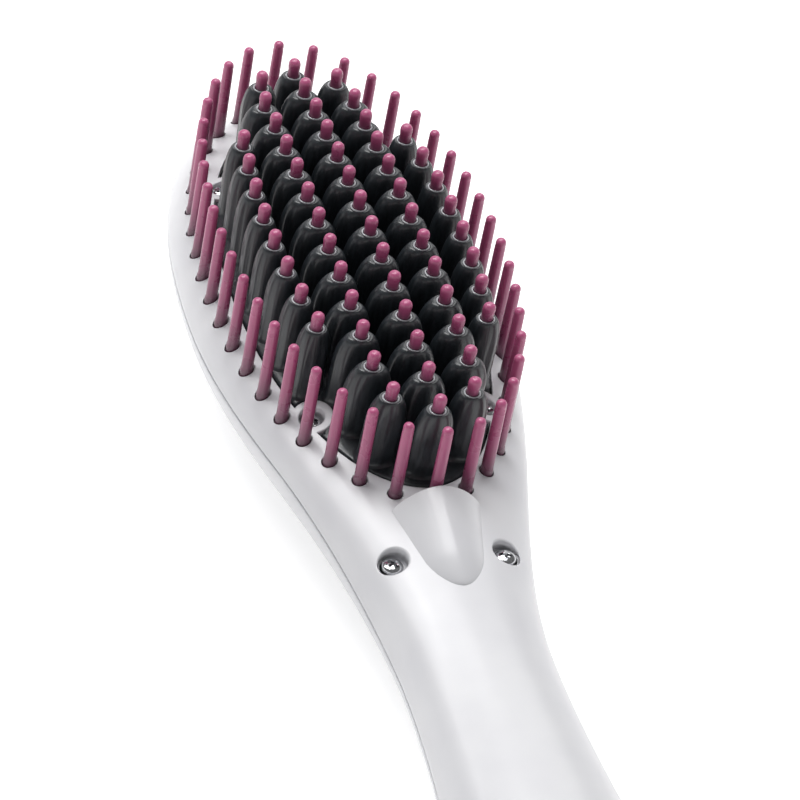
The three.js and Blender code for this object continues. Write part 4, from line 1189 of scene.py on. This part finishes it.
gland.sheet(rows + rows[:1], around=True)
gland_mesh = gland.mesh("gland", merge=0.001)
shade(gland_mesh, 40)
dress("gland", gland_mesh, "black_plastic", "cord_gland", "cord_gland")

# Floor, light and camera, with the lamps and camera placed in metres


def floor_material():
    """Pale floor that the camera, gloss and glass see as white, with the brush's shadow kept on it."""
    look = Look("floor", Roughness=0.7)
    look.color(look.noise(60), srgb(236, 236, 236), srgb(240, 240, 240))
    glow = look.nodes.new("ShaderNodeEmission")
    glow.inputs["Strength"].default_value = 0.6
    add = look.nodes.new("ShaderNodeAddShader")
    look.links.new(look.shader.outputs["BSDF"], add.inputs[0])
    look.links.new(glow.outputs["Emission"], add.inputs[1])
    mix = look.nodes.new("ShaderNodeMixShader")
    look.links.new(seen(look.nodes, look.links), mix.inputs["Fac"])
    look.links.new(look.shader.outputs["BSDF"], mix.inputs[1])
    look.links.new(add.outputs["Shader"], mix.inputs[2])
    look.links.new(mix.outputs["Shader"], look.nodes["Material Output"].inputs["Surface"])
    return look.material


def seen(nodes, links):
    """1 for the rays of the camera, gloss and glass, which see the background."""
    path = nodes.new("ShaderNodeLightPath")
    total = path.outputs["Is Camera Ray"]
    for ray in ("Is Glossy Ray", "Is Transmission Ray"):
        either = nodes.new("ShaderNodeMath")
        either.operation = "MAXIMUM"
        links.new(total, either.inputs[0])
        links.new(path.outputs[ray], either.inputs[1])
        total = either.outputs["Value"]
    return total


floor = Skin()
floor_lines = np.linspace(-3000, 3000, 13)
floor.sheet([[(x, y, 0.0) for x in floor_lines] for y in floor_lines])
show("floor", floor.mesh("floor"), floor_material())

# White walls all round and a dim ceiling, which end and begin at these sines of the elevation
WALLS_TO, CEILING_FROM = 0.16, 0.42
CEILING_LIGHT = 0.17
world = bpy.data.worlds.new("studio")
world.use_nodes = True
bpy.context.scene.world = world
tree = world.node_tree
sky = tree.nodes["Background"]
sky.inputs["Color"].default_value = (1, 1, 1, 1)
direction = tree.nodes.new("ShaderNodeSeparateXYZ")
tree.links.new(tree.nodes.new("ShaderNodeTexCoord").outputs["Generated"], direction.inputs["Vector"])
walls = map_range(tree.nodes, WALLS_TO, CEILING_FROM, 1.0, CEILING_LIGHT)
walls.interpolation_type = "SMOOTHSTEP"
tree.links.new(direction.outputs["Z"], walls.inputs["Value"])
tree.links.new(walls.outputs["Result"], sky.inputs["Strength"])


def lamp(name, bearing, elevation, size, light):
    """A square lamp, a metre from the brush and turned to it. The bearing is in degrees from +Y towards +X,
    and light is what reaches a surface that faces the lamp, in watts per square metre."""
    data = bpy.data.lights.new(name, "AREA")
    data.size = size
    data.energy = light * np.pi
    bearing, elevation = np.radians((bearing, elevation))
    level = np.cos(elevation)
    back = np.array((np.sin(bearing) * level, np.cos(bearing) * level, np.sin(elevation)))
    right = np.cross((0.0, 0.0, 1.0), back)
    right /= np.linalg.norm(right)
    lamp_object = linked(name, data)
    lamp_object.location = LIT_POINT + back
    axes = np.stack([right, np.cross(back, right), back], axis=1)
    lamp_object.rotation_euler = Matrix(axes.tolist()).to_euler()


LIT_POINT = np.array((0.0, 0.05, 0.03))
lamp("top", 0, 70, 0.55, 1.75)
lamp("left_back", -40, 55, 0.4, 0.76)
lamp("right_back", 30, 40, 0.5, 0.5)

CAMERA_PLACE = (-0.194626, -0.407547, 0.425197)
CAMERA_TURN = (50.4201, -8.9577, -16.0019)  # degrees
camera_data = bpy.data.cameras.new("camera")
camera_data.sensor_width = 36.0
camera_data.lens = 157.888
camera_data.clip_start = 0.05
camera = linked("camera", camera_data)
camera.location = CAMERA_PLACE
camera.rotation_euler = np.radians(CAMERA_TURN)
bpy.context.scene.camera = camera
bpy.context.scene.view_settings.view_transform = "Standard"
